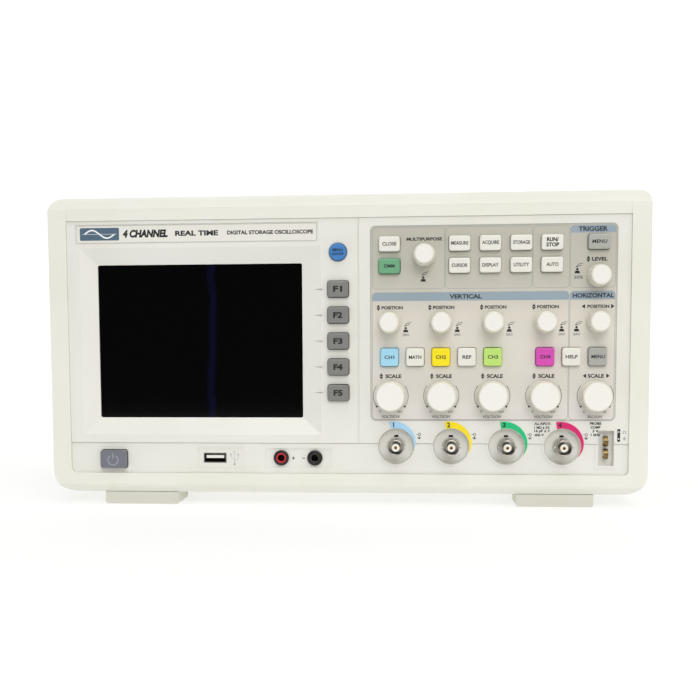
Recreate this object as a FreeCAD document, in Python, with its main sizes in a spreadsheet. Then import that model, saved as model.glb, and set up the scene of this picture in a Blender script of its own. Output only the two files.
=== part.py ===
import FreeCAD, Part
import os
import re
import Sketcher

# A benchtop four-channel oscilloscope.  Millimetres; +Z is up, the front panel
# faces -Y and +X is to the right of a person who works at the panel.  The origin
# is under the middle of the instrument, on the bench that its feet stand on.

DRIVING = {
    # outer case: a front frame and a rear shell that meet at the seam
    "case_wide": 370, "case_top": 195, "case_under": 7.8, "face": -52, "seam": -28, "back": 63.3,
    "brow_radius": 33.8, "brow_drop": 10, "chin_rise": 5, "chin_depth": 7,
    "top_corner": 7, "bottom_corner": 14, "frame_wall": 3, "frame_front": 3.8,
    "shell_inset": 0.8, "shell_wall": 2.5, "heel": 13, "shell_round": 6,
    # front panel, set into the frame from behind
    "panel_face": -50.7, "panel_thick": 2.5, "panel_half": 173.4, "panel_low": 20.8, "panel_high": 178.1,
    "panel_gap": 0.1, "square_corner": 0.6, "rail_deep": 0.5, "panel_flange": 2.3,
    "flange_thick": 2, "groove": 0.6, "strip_top": 39.8, "divider": 9.2,
    "name_left": -168, "name_right": -15.4, "name_low": 164, "name_high": 176,
    # screen
    "bezel_left": -165.6, "bezel_right": -14, "bezel_low": 45, "bezel_high": 161.4, "bezel_back": -47,
    "glass_left": -155.1, "glass_right": -25.8, "glass_low": 55.4, "glass_high": 151.1, "glass_front": -46.2,
    "glass_thick": 1.5, "glass_lap": 3.5, "glass_corner": 1.2, "lcd_thick": 11,
    # rows and columns of keys and knobs
    "col_first": 28.4, "col_pitch": 15.7, "bank_first": 70.9, "bank_pitch": 18.45,
    "dial_first": 29.1, "dial_pitch": 31, "soft_col": -3.2, "row_top": 161.7, "row_second": 148.4,
    "row_position": 114, "row_channel": 93, "row_scale": 69.1,
    "soft_first": 71.2, "soft_pitch": 15.92, "onoff_row": 157.4, "onoff_radius": 5.3,
    "multi_col": 49.5, "multi_row": 155, "level_row": 141.5,
    # keys
    "key_wide": 12.9, "key_high": 9.1, "soft_high": 9.8, "square_key": 11, "key_corner": 1.4,
    "key_proud": 3.4, "key_edge": 0.8, "key_gap": 0.45, "key_flange": 1.1, "key_rim": 1.2, "key_lift": 0.05,
    "stem_wide": 3.2, "key_travel": 1, "switch_gap": 0.3, "switch_wide": 5.6,
    "power_col": -145.9, "power_row": 29.4, "power_wide": 16.6, "power_high": 11.2, "power_travel": 2.5,
    # knobs, their shafts and encoders
    "knob_base": 6.8, "knob_tip": 6, "knob_long": 11.3, "dial_base": 9.5, "dial_tip": 8.8, "dial_long": 11,
    "knob_step": 0.35, "knob_skirt": 1.3, "knob_edge": 0.7, "knob_lift": 1.2, "push_travel": 0.8,
    "shaft_radius": 3, "shaft_into": 8, "tail_radius": 2, "running": 0.05, "bush_radius": 4.5,
    "coder_wide": 12, "coder_front": -47.5, "carrier_wide": 8, "carrier_front": -44.1, "carrier_thick": 1.5,
    "board_front": -41, "board_thick": 1.6, "board_back": -18, "supply_back": 36, "switch_high": 1.7,
    # signal inputs
    "input_first": 32.4, "input_pitch": 33.8, "input_row": 38, "dish_radius": 11.2, "dish_rim": 1.1,
    "dish_deep": 4, "rim_proud": 0.4, "barrel_radius": 4.8, "barrel_bore": 4.1, "barrel_long": 14.5,
    "lug_radius": 0.95, "lug_reach": 5.6, "pin_radius": 0.7, "insulator_radius": 2.4,
    # multimeter jacks, memory socket and probe terminals
    "jack_left": -39.4, "jack_right": -18.3, "jack_row": 30.4, "jack_radius": 4.8, "jack_sleeve": 2.9,
    "jack_bore": 2.02, "jack_long": 18, "jack_seat_left": -49.3, "jack_seat_right": -7.7,
    "jack_seat_low": 24.4, "jack_seat_high": 36.3, "usb_seat_left": -91.9, "usb_seat_right": -63.3,
    "usb_seat_low": 23.9, "usb_seat_high": 36.7, "usb_col": -81.5, "usb_row": 30.2,
    "usb_wide": 14.4, "usb_high": 6.2,
    "usb_skin": 0.4, "usb_deep": 14, "probe_half": 4.75, "probe_low": 26.4, "probe_high": 47.9,
    "probe_wall": 1.5, "clip_col": 159.95, "clip_low": 33.6, "clip_high": 41.4, "clip_radius": 3.2,
    "clip_wide": 2.6, "clip_thick": 0.7,
    # feet and tilting legs
    "foot_col": 130, "foot_wide": 47.4, "foot_front": -45.5, "foot_deep": 17.5, "foot_bevel": 1.5,
    "leg_axis_y": -23.5, "leg_axis_z": 4.8, "leg_pin": 1.5, "leg_wide": 38, "leg_long": 46, "leg_thick": 4.5,
    # carrying handle, folded into a tub in the top of the rear shell
    "tub_half": 96, "tub_front": -8, "tub_rear": 40, "tub_floor": 180,
    "handle_axis_y": -1, "handle_axis_z": 187.4, "handle_half": 93,
    "handle_reach": 33, "handle_thick": 10, "handle_pin": 2.5,
    # fan
    "fan_col": 95, "fan_row": 108, "fan_radius": 38, "fan_wall": 2, "fan_hub": 17,
    "fan_front": 46, "fan_deep": 14,
    # rear bay, where the rear sockets sit in from the wall
    "bay_left": -166, "bay_right": -5, "bay_low": 25, "bay_high": 62, "bay_deep": 12,
    "inlet_col": -136, "inlet_row": 44, "inlet_wide": 27.6, "inlet_high": 19.8,
    "network_col": -84, "network_row": 40, "network_wide": 15.8, "network_high": 13.2,
    "device_col": -52, "device_row": 40, "device_wide": 11.8, "device_high": 10.6,
    "trigger_col": -20, "trigger_row": 40, "socket_deep": 16,
    # fixings
    "screw_col": 180, "screw_low": 34, "screw_high": 168, "post_radius": 3.9,
    "screw_radius": 1.5, "head_radius": 3,
}

doc = FreeCAD.newDocument("Oscilloscope")
sheet = doc.addObject("Spreadsheet::Sheet", "dims")
for row, (word, number) in enumerate(DRIVING.items(), 1):
    sheet.set(f"A{row}", word)
    sheet.set(f"B{row}", str(number))
    sheet.setAlias(f"B{row}", word)
doc.recompute()

SUB_PARTS = []
PLANES = {"x": ("YZ_Plane", 1), "y": ("XZ_Plane", -1), "z": ("XY_Plane", 1)}


def rule(text):
    """A formula in the sheet's words, written as a document expression."""
    def spelt(word):
        return f"dims.{word.group()}" if word.group() in DRIVING else word.group()
    return re.sub(r"[a-z]\w+", spelt, str(text))


def value(text):
    """What a formula comes to now, for drawing a sketch before its constraints hold it."""
    return float(sheet.evalExpression(rule(text)))


def bind(piece, rules):
    """Ties properties of a piece to formulas."""
    for name, text in rules.items():
        piece.setExpression(name, rule(text))
    return piece


def place(piece, x=0, y=0, z=0):
    """Ties the place of a piece to formulas."""
    return bind(piece, {"Placement.Base.x": x, "Placement.Base.y": y, "Placement.Base.z": z})


def finished(label, piece):
    """Names a sub-part, which becomes a file of its own."""
    piece.Label = label
    SUB_PARTS.append(piece)
    return piece


# --- plain solids and booleans --------------------------------------------------

def block(label, x, y, z):
    """A box between a low and a high face on each axis."""
    piece = place(doc.addObject("Part::Box", label), x[0], y[0], z[0])
    return bind(piece, {size: f"({high}) - ({low})"
                        for size, (low, high) in (("Length", x), ("Width", y), ("Height", z))})


def about(label, name, wide, high, deep):
    """A box that faces the front or the rear, centred on the column and row that bear a name."""
    return block(label, (f"{name}_col - {wide}/2", f"{name}_col + {wide}/2"), deep, (
        f"{name}_row - {high}/2", f"{name}_row + {high}/2"))


def along(piece, axis, centre, span):
    """Turns a round solid on to an axis and ties its place; centre names the other two axes in order."""
    piece.Placement.Rotation = FreeCAD.Rotation(
        FreeCAD.Vector(0, 0, 1), FreeCAD.Vector(axis == "x", axis == "y", axis == "z"))
    where = dict(zip([side for side in "xyz" if side != axis], centre))
    return bind(place(piece, **where, **{axis: span[0]}), {"Height": f"({span[1]}) - ({span[0]})"})


def rod(label, axis, centre, radius, span):
    """A cylinder along an axis."""
    return bind(along(doc.addObject("Part::Cylinder", label), axis, centre, span), {"Radius": radius})


def cone(label, axis, centre, radii, span):
    """A cone along an axis, with a radius at each end."""
    piece = along(doc.addObject("Part::Cone", label), axis, centre, span)
    return bind(piece, {"Radius1": radii[0], "Radius2": radii[1]})


def join(label, *pieces):
    """One solid made of several."""
    piece = doc.addObject("Part::MultiFuse", label)
    piece.Shapes = list(pieces)
    return piece


def trim(label, base, *tools):
    """The base with every tool cut away from it."""
    piece = doc.addObject("Part::Cut", label)
    piece.Base = base
    piece.Tool = tools[0] if len(tools) == 1 else join(label + "_tools", *tools)
    return piece


def shared(label, first, *others):
    """What several solids have in common."""
    for other in others:
        piece = doc.addObject("Part::Common", label)
        piece.Base = first
        piece.Tool = other
        first = piece
    return first


def gather(label, pieces):
    """Several separate solids that are kept as one sub-part."""
    piece = doc.addObject("Part::Compound", label)
    piece.Links = list(pieces)
    return piece


def tube(label, axis, centre, outer, inner, span):
    """A pipe along an axis."""
    return trim(label, rod(label + "_outer", axis, centre, outer, span),
                rod(label + "_inner", axis, centre, inner, span))


# --- sketched solids ------------------------------------------------------------

def hold(sketch, kind, *where, text):
    """Adds a dimension to a sketch and ties it to a formula."""
    number = sketch.addConstraint(Sketcher.Constraint(kind, *where, value(text)))
    name = f"held_{number}"
    sketch.renameConstraint(number, name)
    sketch.setExpression(f"Constraints.{name}", rule(text))


def draw_outline(sketch, points):
    """A closed polygon; every corner is dimensioned from the sketch's origin."""
    corners = [FreeCAD.Vector(value(across), value(up), 0) for across, up in points]
    for number, corner in enumerate(corners):
        sketch.addGeometry(Part.LineSegment(corner, corners[(number + 1) % len(corners)]))
    for number, (across, up) in enumerate(points):
        before = (number - 1) % len(points)
        sketch.addConstraint(Sketcher.Constraint("Coincident", before, 2, number, 1))
        hold(sketch, "DistanceX", -1, 1, number, 1, text=across)
        hold(sketch, "DistanceY", -1, 1, number, 1, text=up)


def sketch_across(body, axis, level):
    """An empty sketch square to an axis, at a level along it."""
    role, sign = PLANES[axis]
    sketch = body.newObject("Sketcher::SketchObject", body.Name + "_sketch")
    sketch.AttachmentSupport = [(next(one for one in body.Origin.OriginFeatures if one.Role == role), "")]
    sketch.MapMode = "FlatFace"
    return bind(sketch, {"AttachmentOffset.Base.z": f"{sign} * ({level})"})


def pad(body, axis, span, points):
    """A polygon carried along an axis between two levels."""
    sketch = sketch_across(body, axis, span[1] if axis == "y" else span[0])
    draw_outline(sketch, points)
    feature = body.newObject("PartDesign::Pad", body.Name + "_pad")
    feature.Profile = sketch
    return bind(feature, {"Length": f"({span[1]}) - ({span[0]})"})


def edges_along(feature, axis, keep):
    """Names of the straight edges that run along an axis and whose middle is kept."""
    names = []
    for number, edge in enumerate(feature.Shape.Edges, 1):
        run = edge.Vertexes[-1].Point - edge.Vertexes[0].Point
        if abs(getattr(run, axis)) > 0.999 * run.Length > 0 and keep(edge.CenterOfMass):
            names.append(f"Edge{number}")
    return names


def rounded(body, radius, names):
    """Rounds edges of a body's last feature."""
    feature = body.newObject("PartDesign::Fillet", body.Name + "_round")
    feature.Base = (body.Group[-2], names)
    bind(feature, {"Radius": radius})
    doc.recompute()
    return feature


def prism(label, axis, span, points, rounds=()):
    """A polygon carried along an axis; rounds lists a radius and which of the long edges get it."""
    body = doc.addObject("PartDesign::Body", label)
    pad(body, axis, span, points)
    doc.recompute()
    for radius, keep in rounds:
        rounded(body, radius, edges_along(body.Tip, axis, keep))
    return body


def slab(label, across, up, deep, corner):
    """A flat plate that faces the front, with its four corners rounded."""
    points = [(across[0], up[0]), (across[1], up[0]), (across[1], up[1]), (across[0], up[1])]
    return prism(label, "y", deep, points, [(corner, lambda middle: True)])


def turned(label, profile):
    """A solid turned about the Y axis from a half profile of (level, radius) corners."""
    body = doc.addObject("PartDesign::Body", label)
    sketch = sketch_across(body, "x", 0)
    draw_outline(sketch, profile)
    feature = body.newObject("PartDesign::Revolution", label + "_turn")
    feature.Profile = sketch
    feature.ReferenceAxis = (sketch, ["H_Axis"])
    feature.Angle = 360
    doc.recompute()
    return body


# --- the case -------------------------------------------------------------------

def upper(middle):
    return middle.z > value("case_top") / 2


def lower(middle):
    return not upper(middle)


def front_outline(inset):
    """The case seen from the front."""
    side, top, under = f"case_wide/2 - ({inset})", f"case_top - ({inset})", f"case_under + ({inset})"
    return [(f"-({side})", under), (side, under), (side, top), (f"-({side})", top)]


def frame_block(label, inset, front, chin=()):
    """The front frame's outside, or its hollow when inset: three outlines that meet."""
    top, under, rear = f"case_top - {inset}", f"case_under + {inset}", f"seam + {inset}"
    seen_ahead = prism(label + "_ahead", "y", (front, rear), front_outline(inset), [
        (f"top_corner - {inset}", upper), (f"bottom_corner - {inset}", lower)])
    seen_beside = prism(label + "_beside", "x", (f"{inset} - case_wide/2", f"case_wide/2 - {inset}"), [
        (front, f"{under} + chin_rise"), (f"{front} + chin_depth", under), (rear, under),
        (rear, "case_top"), (front, "case_top")], chin)
    brow = rod(label + "_brow", "x", ("seam", f"{top} - brow_radius"), "brow_radius", (
        "-case_wide/2", "case_wide/2"))
    below = block(label + "_below", ("-case_wide/2", "case_wide/2"), (front, rear), (
        0, f"{top} - brow_drop"))
    return shared(label, seen_ahead, seen_beside, join(label + "_profile", brow, below))


def shell_block(label, inset, rear):
    """The rear shell's outside, or its hollow when inset."""
    wall = f"(shell_inset + {inset})"
    ends = ("seam", rear)
    seen_ahead = prism(label + "_ahead", "y", ends, front_outline(wall), [
        (f"top_corner - {inset}", upper), (f"bottom_corner - {inset}", lower)])
    top, under = f"case_top - {wall}", f"case_under + {wall}"
    seen_beside = prism(label + "_beside", "x", ("-case_wide/2", "case_wide/2"), [
        ("seam", under), (f"{rear} - heel", under), (rear, f"{under} + heel"),
        (rear, f"{top} - heel"), (f"{rear} - heel", top), ("seam", top)], [
        ("shell_round", lambda middle: middle.y > value("seam") + 1)])
    side = f"case_wide/2 - {wall}"
    seen_above = prism(label + "_above", "z", (0, "case_top"), [
        (f"-({side})", "seam"), (side, "seam"), (side, rear), (f"-({side})", rear)], [
        ("shell_round", lambda middle: middle.y > 0)])
    return shared(label, seen_ahead, seen_beside, seen_above)


SCREW_PLACES = [(f"{side} * screw_col", level) for side in (-1, 1) for level in ("screw_low", "screw_high")]
MAIN_BOARD_POSTS = [(f"{side} * 157", level) for side in (-1, 1) for level in ("row_top", "strip_top")]
SUPPLY_POSTS = [(across, up) for across in (-140, 30) for up in (76, 160)]
TRIGGER_SOCKET = ("trigger_col", "trigger_row")
BAY_FLOOR = "(back - bay_deep)"


def case_sides():
    """The space between the case's outer sides, which clips the screw posts."""
    return block("case_sides", ("shell_inset + 0.4 - case_wide/2", "case_wide/2 - shell_inset - 0.4"),
                 ("face", "back"), ("case_under", "case_top"))


def panel_shape(label, deep, gap):
    """The panel seen from the front, a gap larger: rounded below and almost square above."""
    side, low, high = f"panel_half + {gap}", f"panel_low - {gap}", f"panel_high + {gap}"
    return prism(label, "y", deep, [(f"-({side})", low), (side, low), (side, high), (f"-({side})", high)], [
        ("frame_wall", lower), ("square_corner", upper)])


def front_frame():
    """The moulded surround: a hollow ring with posts in its sides for the long screws."""
    opening = panel_shape("frame_opening", ("face - 1", "face + frame_front + 1"), "panel_gap")
    rail = block("frame_rail", ("-panel_half", "panel_half"), ("face - 1", "face + rail_deep"), (
        "panel_high", "case_top + 1"))
    chin = [("frame_wall", lambda middle: lower(middle) and middle.y < value("seam") - 1)]
    ring = trim("frame_ring", frame_block("frame_outside", "0", "face", chin),
                frame_block("frame_hollow", "frame_wall", "face + frame_front"), opening, rail)
    deep = ("face + frame_front", "seam")
    posts = [shared("frame_post", rod("frame_post_rod", "y", centre, "post_radius", deep), case_sides())
             for centre in SCREW_PLACES]
    pilots = [rod("frame_pilot", "y", centre, "screw_radius", deep) for centre in SCREW_PLACES]
    finished("front_frame", trim("frame", join("frame_with_posts", ring, *posts), *pilots))


def side_slots():
    """Two rows of upright cooling slots through each side wall."""
    return [block("side_slot", (f"{side} * case_wide/2 - 8", f"{side} * case_wide/2 + 8"),
                  (f"seam + 22 + {number} * 7", f"seam + 25 + {number} * 7"), (low, low + 44))
            for side in (-1, 1) for number in range(8) for low in (52, 108)]


def fan_grille():
    """Level slots through the rear wall, inside the fan's circle."""
    disc = rod("grille_disc", "y", ("fan_col", "fan_row"), "fan_radius - 2", ("back - 4", "back + 1"))
    slots = [block("grille_slot", ("fan_col - fan_radius", "fan_col + fan_radius"), ("back - 5", "back + 2"),
                   (f"fan_row + {number} * 7.6 - 1.8", f"fan_row + {number} * 7.6 + 1.8"))
             for number in range(-4, 5)]
    return shared("grille", disc, join("grille_slots", *slots))


def rear_shell():
    """The rear shell: tub for the handle, fan shroud, board posts, screw posts and socket openings."""
    inside = "back - shell_wall"
    shell = trim("shell_walls", shell_block("shell_outside", "0", "back"),
                 shell_block("shell_hollow", "shell_wall", inside))
    tub = shared("tub_walls", block("tub_outside", ("-tub_half - 4", "tub_half + 4"), (
        "tub_front - shell_wall", "tub_rear + shell_wall"), ("tub_floor - shell_wall", "case_top")),
        shell_block("tub_limit", "0", "back"))
    fan = ("fan_col", "fan_row")
    shroud = tube("shroud", "y", fan, "fan_radius + fan_wall + 1.4", "fan_radius + 1.4", (
        "fan_front - 3", inside))
    spider = [rod("spider_hub", "y", fan, "fan_hub", ("fan_front - 3.5", "fan_front - 1")),
              rod("spider_pin", "y", fan, "tail_radius", ("fan_front - 3.5", "fan_front + fan_deep - 2"))]
    reach = "fan_radius + 2"
    spider += [block("spider_arm", (f"fan_col - ({wide})", f"fan_col + {wide}"), (
        "fan_front - 3.5", "fan_front - 1"), (f"fan_row - ({tall})", f"fan_row + {tall}"))
        for wide, tall in ((reach, "2"), ("2", reach))]
    posts = [shared("shell_post", rod("shell_post_rod", "y", centre, "post_radius", ("seam", "back")),
                    shell_block("post_limit", "0", "back"), case_sides()) for centre in SCREW_PLACES]
    posts += [rod("board_post", "y", centre, 4, (front, "back - 2")) for front, places in (
        ("board_back", MAIN_BOARD_POSTS), ("supply_back", SUPPLY_POSTS)) for centre in places]
    bay = block("bay_walls", ("bay_left - shell_wall", "bay_right + shell_wall"), (
        f"{BAY_FLOOR} - shell_wall", inside), ("bay_low - shell_wall", "bay_high + shell_wall"))
    solid = join("shell_with_posts", shell, tub, bay, shroud, *spider, *posts)
    tools = [rod("screw_way", "y", centre, f"{radius} + 0.2", (front, "back + 1")) for centre in SCREW_PLACES
             for radius, front in (("screw_radius", "seam"), ("head_radius", 0))]
    tools += [slab_above("tub_hollow", ("-tub_half", "tub_half"), ("tub_front", "tub_rear"), (
        "tub_floor", "case_top + 5"), 5)]
    tools += [slab("bay_hollow", ("bay_left", "bay_right"), ("bay_low", "bay_high"), (BAY_FLOOR, "back + 1"), 3)]
    tools += [rod("handle_hole", "x", ("handle_axis_y", "handle_axis_z"), "handle_pin + running", (
        "-tub_half - 3", "tub_half + 3"))]
    tools += [about(f"{name}_hole", name, f"{name}_wide", f"{name}_high", (
        f"{BAY_FLOOR} - 9", f"{BAY_FLOOR} + 1")) for name in ("inlet", "network", "device")]
    tools += [rod("trigger_hole", "y", TRIGGER_SOCKET, 6.4, (f"{BAY_FLOOR} - 9", BAY_FLOOR)), fan_grille()]
    finished("rear_case", trim("shell", solid, *tools, *side_slots()))


def slab_above(label, across, deep, up, corner):
    """An upright block whose four upright edges are rounded."""
    points = [(across[0], deep[0]), (across[1], deep[0]), (across[1], deep[1]), (across[0], deep[1])]
    return prism(label, "z", up, points, [(corner, lambda middle: True)])


# --- keys -----------------------------------------------------------------------

def column(number):
    """A column of the control area, where channels and knobs share one pitch."""
    return f"col_first + {number} * col_pitch"


def bank(number):
    """A column of the keys above the channel controls."""
    return f"bank_first + {number} * bank_pitch"


KEYS = {}
for top_name, second_name, across in (
        ("close", "dmm", column(0)), ("measure", "cursor", bank(0)), ("acquire", "display", bank(1)),
        ("storage", "utility", bank(2)), ("run_stop", "auto", bank(3))):
    KEYS[f"key_{top_name}"] = (across, "row_top", "key_wide", "key_high")
    KEYS[f"key_{second_name}"] = (across, "row_second", "key_wide", "key_high")
KEYS["key_trigger_menu"] = (column(8), "row_top", "key_wide", "key_high")
for number, name in enumerate(("f5", "f4", "f3", "f2", "f1")):
    KEYS[f"key_{name}"] = ("soft_col", f"soft_first + {number} * soft_pitch", "key_wide", "soft_high")
for number, name in {0: "ch1", 1: "math", 2: "ch2", 3: "ref", 4: "ch3", 6: "ch4", 7: "help",
                     8: "horizontal_menu"}.items():
    KEYS[f"key_{name}"] = (column(number), "row_channel", "square_key", "square_key")
POWER_KEY = ("power_col", "power_row", "power_wide", "power_high")
PANEL_BACK = "(panel_face + panel_thick)"


def centred(wide, high):
    """A rectangle about the origin."""
    return [(f"-({wide})/2", f"-({high})/2"), (f"({wide})/2", f"-({high})/2"),
            (f"({wide})/2", f"({high})/2"), (f"-({wide})/2", f"({high})/2")]


def key(label, across, up, wide, high, travel):
    """A moulded key: a cap with a rounded face, a flange behind the panel and a stem to its switch."""
    front, flange_front = "panel_face - key_proud", f"{PANEL_BACK} + key_lift"
    body = prism(label, "y", (front, flange_front), centred(wide, high), [
        ("key_corner", lambda middle: True)])
    cap = body.Tip.Shape
    face = min(range(len(cap.Faces)), key=lambda number: cap.Faces[number].CenterOfMass.y)
    rounded(body, "key_edge", [f"Face{face + 1}"])
    pad(body, "y", (flange_front, f"{flange_front} + key_rim"), centred(
        f"{wide} + 2 * key_flange", f"{high} + 2 * key_flange"))
    pad(body, "y", (f"{flange_front} + key_rim", f"board_front - switch_high - switch_gap - {travel}"),
        centred("stem_wide", "stem_wide"))
    finished(label, place(body, x=across, z=up))


def round_key():
    """The round key that opens and closes the menu on the screen."""
    front, flange_front = "panel_face - key_proud + 1", f"{PANEL_BACK} + key_lift"
    body = turned("key_menu_onoff", [
        (front, 0), (front, "onoff_radius - key_edge"), (f"{front} + key_edge", "onoff_radius"),
        (flange_front, "onoff_radius"), (flange_front, "onoff_radius + key_flange"),
        (f"{flange_front} + key_rim", "onoff_radius + key_flange"),
        (f"{flange_front} + key_rim", "stem_wide/2"),
        ("board_front - switch_high - switch_gap - key_travel", "stem_wide/2"),
        ("board_front - switch_high - switch_gap - key_travel", 0)])
    finished("key_menu_onoff", place(body, x="soft_col", z="onoff_row"))


def key_windows():
    """The windows that the keys come through."""
    deep = ("panel_face - 1", f"{PANEL_BACK} + 0.1")
    windows = [slab(f"{name}_window", (f"{across} - {wide}/2 - key_gap", f"{across} + {wide}/2 + key_gap"), (
        f"{up} - {high}/2 - key_gap", f"{up} + {high}/2 + key_gap"), deep, "key_corner + key_gap")
               for name, (across, up, wide, high) in (KEYS | {"key_power": POWER_KEY}).items()]
    return windows + [rod("onoff_window", "y", ("soft_col", "onoff_row"), "onoff_radius + key_gap", deep)]


# --- knobs ----------------------------------------------------------------------

PUSH_KNOBS = {"multipurpose": ("multi_col", "multi_row"), "level": (column(8), "level_row")}
DIALS = {}
for number, name in {0: "ch1", 2: "ch2", 4: "ch3", 6: "ch4", 8: "horizontal"}.items():
    PUSH_KNOBS[f"position_{name}"] = (column(number), "row_position")
    DIALS[f"scale_{name}"] = (f"dial_first + {number // 2} * dial_pitch", "row_scale")


def fluted(body, radius, count, depth):
    """Cuts finger flutes round a turned knob."""
    flute = body.newObject("PartDesign::SubtractiveCylinder", body.Name + "_flute")
    flute.Placement.Rotation = FreeCAD.Rotation(FreeCAD.Vector(0, 0, 1), FreeCAD.Vector(0, 1, 0))
    bind(place(flute, x=f"{radius} + {depth}", y="face - dial_long - 1"), {
        "Radius": f"2 * {depth}", "Height": "dial_long - knob_skirt + 1"})
    doc.recompute()
    ring = body.newObject("PartDesign::PolarPattern", body.Name + "_flutes")
    ring.Originals = [flute]
    ring.Axis = (next(one for one in body.Origin.OriginFeatures if one.Role == "Y_Axis"), [""])
    ring.Angle = 360
    ring.Occurrences = count
    body.Tip = ring


def knob(label, across, up, base, tip, long, shaft_back, flutes):
    """A knob pressed on to its encoder's shaft; they turn together."""
    rear, front, step = "panel_face - knob_lift", f"face - {long}", "knob_step"
    body = turned(f"{label}_cap", [
        (rear, "shaft_radius"), (rear, base), (f"{rear} - knob_skirt", base),
        (f"{rear} - knob_skirt", f"{base} - {step}"), (f"{front} + knob_edge", tip),
        (front, f"{tip} - knob_edge"), (front, 0), (f"{rear} - shaft_into", 0),
        (f"{rear} - shaft_into", "shaft_radius")])
    fluted(body, f"({base} + {tip})/2 - {step}/2", flutes, 0.28)
    shaft = rod(f"{label}_shaft", "y", (0, 0), "shaft_radius", (f"{rear} - shaft_into", shaft_back))
    return place(gather(f"{label}_parts", [body, shaft]), x=across, z=up), shaft


def push_knob(name, across, up):
    """A small knob that also presses; a carrier in its encoder slides with it and doesn't turn."""
    label = f"knob_{name}"
    parts, shaft = knob(label, across, up, "knob_base", "knob_tip", "knob_long", "carrier_front", 20)
    tail = rod(f"{label}_tail", "y", (0, 0), "tail_radius", (
        "carrier_front - 1", "carrier_front + carrier_thick"))
    stem = join(f"{label}_stem", shaft, tail)
    parts.Links = [parts.Links[0], stem]
    finished(label, parts)
    carrier = block(f"carrier_{name}_block", (f"{across} - carrier_wide/2", f"{across} + carrier_wide/2"), (
        "carrier_front + running", "carrier_front + carrier_thick"), (
        f"{up} - carrier_wide/2", f"{up} + carrier_wide/2"))
    bore = rod(f"carrier_{name}_bore", "y", (across, up), "tail_radius + running", (
        "carrier_front", "carrier_front + 2 * carrier_thick"))
    finished(f"carrier_{name}", trim(f"carrier_{name}_cut", carrier, bore))


def dial(name, across, up):
    """A large knob that only turns."""
    parts = knob(f"knob_{name}", across, up, "dial_base", "dial_tip", "dial_long", "board_front - 2", 30)[0]
    finished(f"knob_{name}", parts)


# --- front panel and screen -----------------------------------------------------

INPUTS = [f"input_first + {number} * input_pitch" for number in range(4)]


def front_panel():
    """The panel insert, with its sunk screen surround, input dishes, windows and holes."""
    face, back = "panel_face", PANEL_BACK
    plate = panel_shape("panel_plate", (face, back), "0")
    flange = trim("panel_flange", *[block(f"panel_flange_{name}", (
        f"{less} - panel_half", f"panel_half - {less}"), (f"{back} - {more}", f"{back} + flange_thick + {more}"), (
        f"panel_low + {less}", f"panel_high - {less}"))
        for name, less, more in (("plate", "(-1 * panel_flange)", 0), ("hole", 1.5, 1))])
    surround = block("screen_surround", ("bezel_left - 2", "bezel_right + 1.5"), (back, "glass_front + 2"), (
        "bezel_low - 1", "bezel_high + 2"))
    dishes = [rod("dish", "y", (across, "input_row"), "dish_radius + dish_rim", (
        f"{face} - rim_proud", f"{face} + dish_deep + 2")) for across in INPUTS]
    probe_box = probe_block("probe_box", "probe_wall", (face, f"{face} + dish_deep + 2"))
    strip = trim("panel_with_strip", plate, block("strip", ("-panel_half - 1", "panel_half + 1"), (
        f"{face} - 1", f"{face} + groove"), ("panel_low - 1", "strip_top")))
    solid = join("panel_solid", strip, flange, surround, probe_box, *dishes)

    funnel = doc.addObject("Part::Wedge", "screen_funnel")
    bind(funnel, {
        "Xmin": "bezel_left", "Xmax": "bezel_right", "Zmin": "bezel_low", "Zmax": "bezel_high", "Ymin": face,
        "X2min": "glass_left", "X2max": "glass_right", "Z2min": "glass_low", "Z2max": "glass_high",
        "Ymax": "bezel_back"})
    glass = (("glass_left", "glass_right"), ("glass_low", "glass_high"))
    tools = [funnel, slab("glass_opening", *glass, ("bezel_back - 0.1", "glass_front + 1"), "glass_corner")]
    tools += [block("glass_seat", ("glass_left - glass_lap", "glass_right + glass_lap"), (
        "glass_front", "glass_front + 3"), ("glass_low - glass_lap", "glass_high + glass_lap"))]
    for across in INPUTS:
        centre = (across, "input_row")
        tools.append(cone("dish_hollow", "y", centre, ("dish_radius", "dish_radius - 0.8"), (
            f"{face} - rim_proud", f"{face} + dish_deep")))
        tools.append(rod("input_hole", "y", centre, "barrel_radius + 0.7", (face, f"{face} + dish_deep + 3")))
        tools.append(block("input_notch", (f"{across} - 1.3", f"{across} + 1.3"), (
            face, f"{face} + dish_deep + 3"), ("input_row", "input_row + barrel_radius + 1.9")))
    tools += [rod("shaft_hole", "y", centre, "bush_radius + 0.25", (f"{face} - 1", f"{back} + 1"))
              for centre in (*PUSH_KNOBS.values(), *DIALS.values())]
    shallow, deeper = (f"{face} - 1", f"{face} + groove"), (f"{face} - 1", f"{face} + 2 * groove")
    through = (f"{face} - 1", f"{back} + 1")
    tools.append(block("name_seat", ("name_left", "name_right"), shallow, ("name_low", "name_high")))
    tools.append(block("divider_groove", ("divider - 0.5", "divider + 0.5"), shallow, (
        "strip_top", "panel_high + 1")))
    tools.append(block("strip_groove", ("-panel_half - 1", "panel_half + 1"), deeper, (
        "strip_top - groove/2", "strip_top")))
    tools += [block(f"{name}_seat", (f"{name}_seat_left", f"{name}_seat_right"), deeper, (
        f"{name}_seat_low", f"{name}_seat_high")) for name in ("usb", "jack")]
    tools.append(about("usb_hole", "usb", "(usb_wide + 0.2)", "(usb_high + 0.2)", through))
    tools += [rod("jack_hole", "y", (across, "jack_row"), "jack_radius", through)
              for across in ("jack_left", "jack_right")]
    tools.append(probe_block("probe_seat", "0", (f"{face} - 1", f"{face} + dish_deep")))
    tools += [block("tick", ("glass_right + 2", "bezel_right + 1"), ("face", "panel_face + groove/2 + 1.1"), (
        f"soft_first + {number} * soft_pitch - 0.3", f"soft_first + {number} * soft_pitch + 0.3"))
        for number in range(5)]
    finished("front_panel", trim("panel", solid, *tools, *key_windows()))


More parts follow.
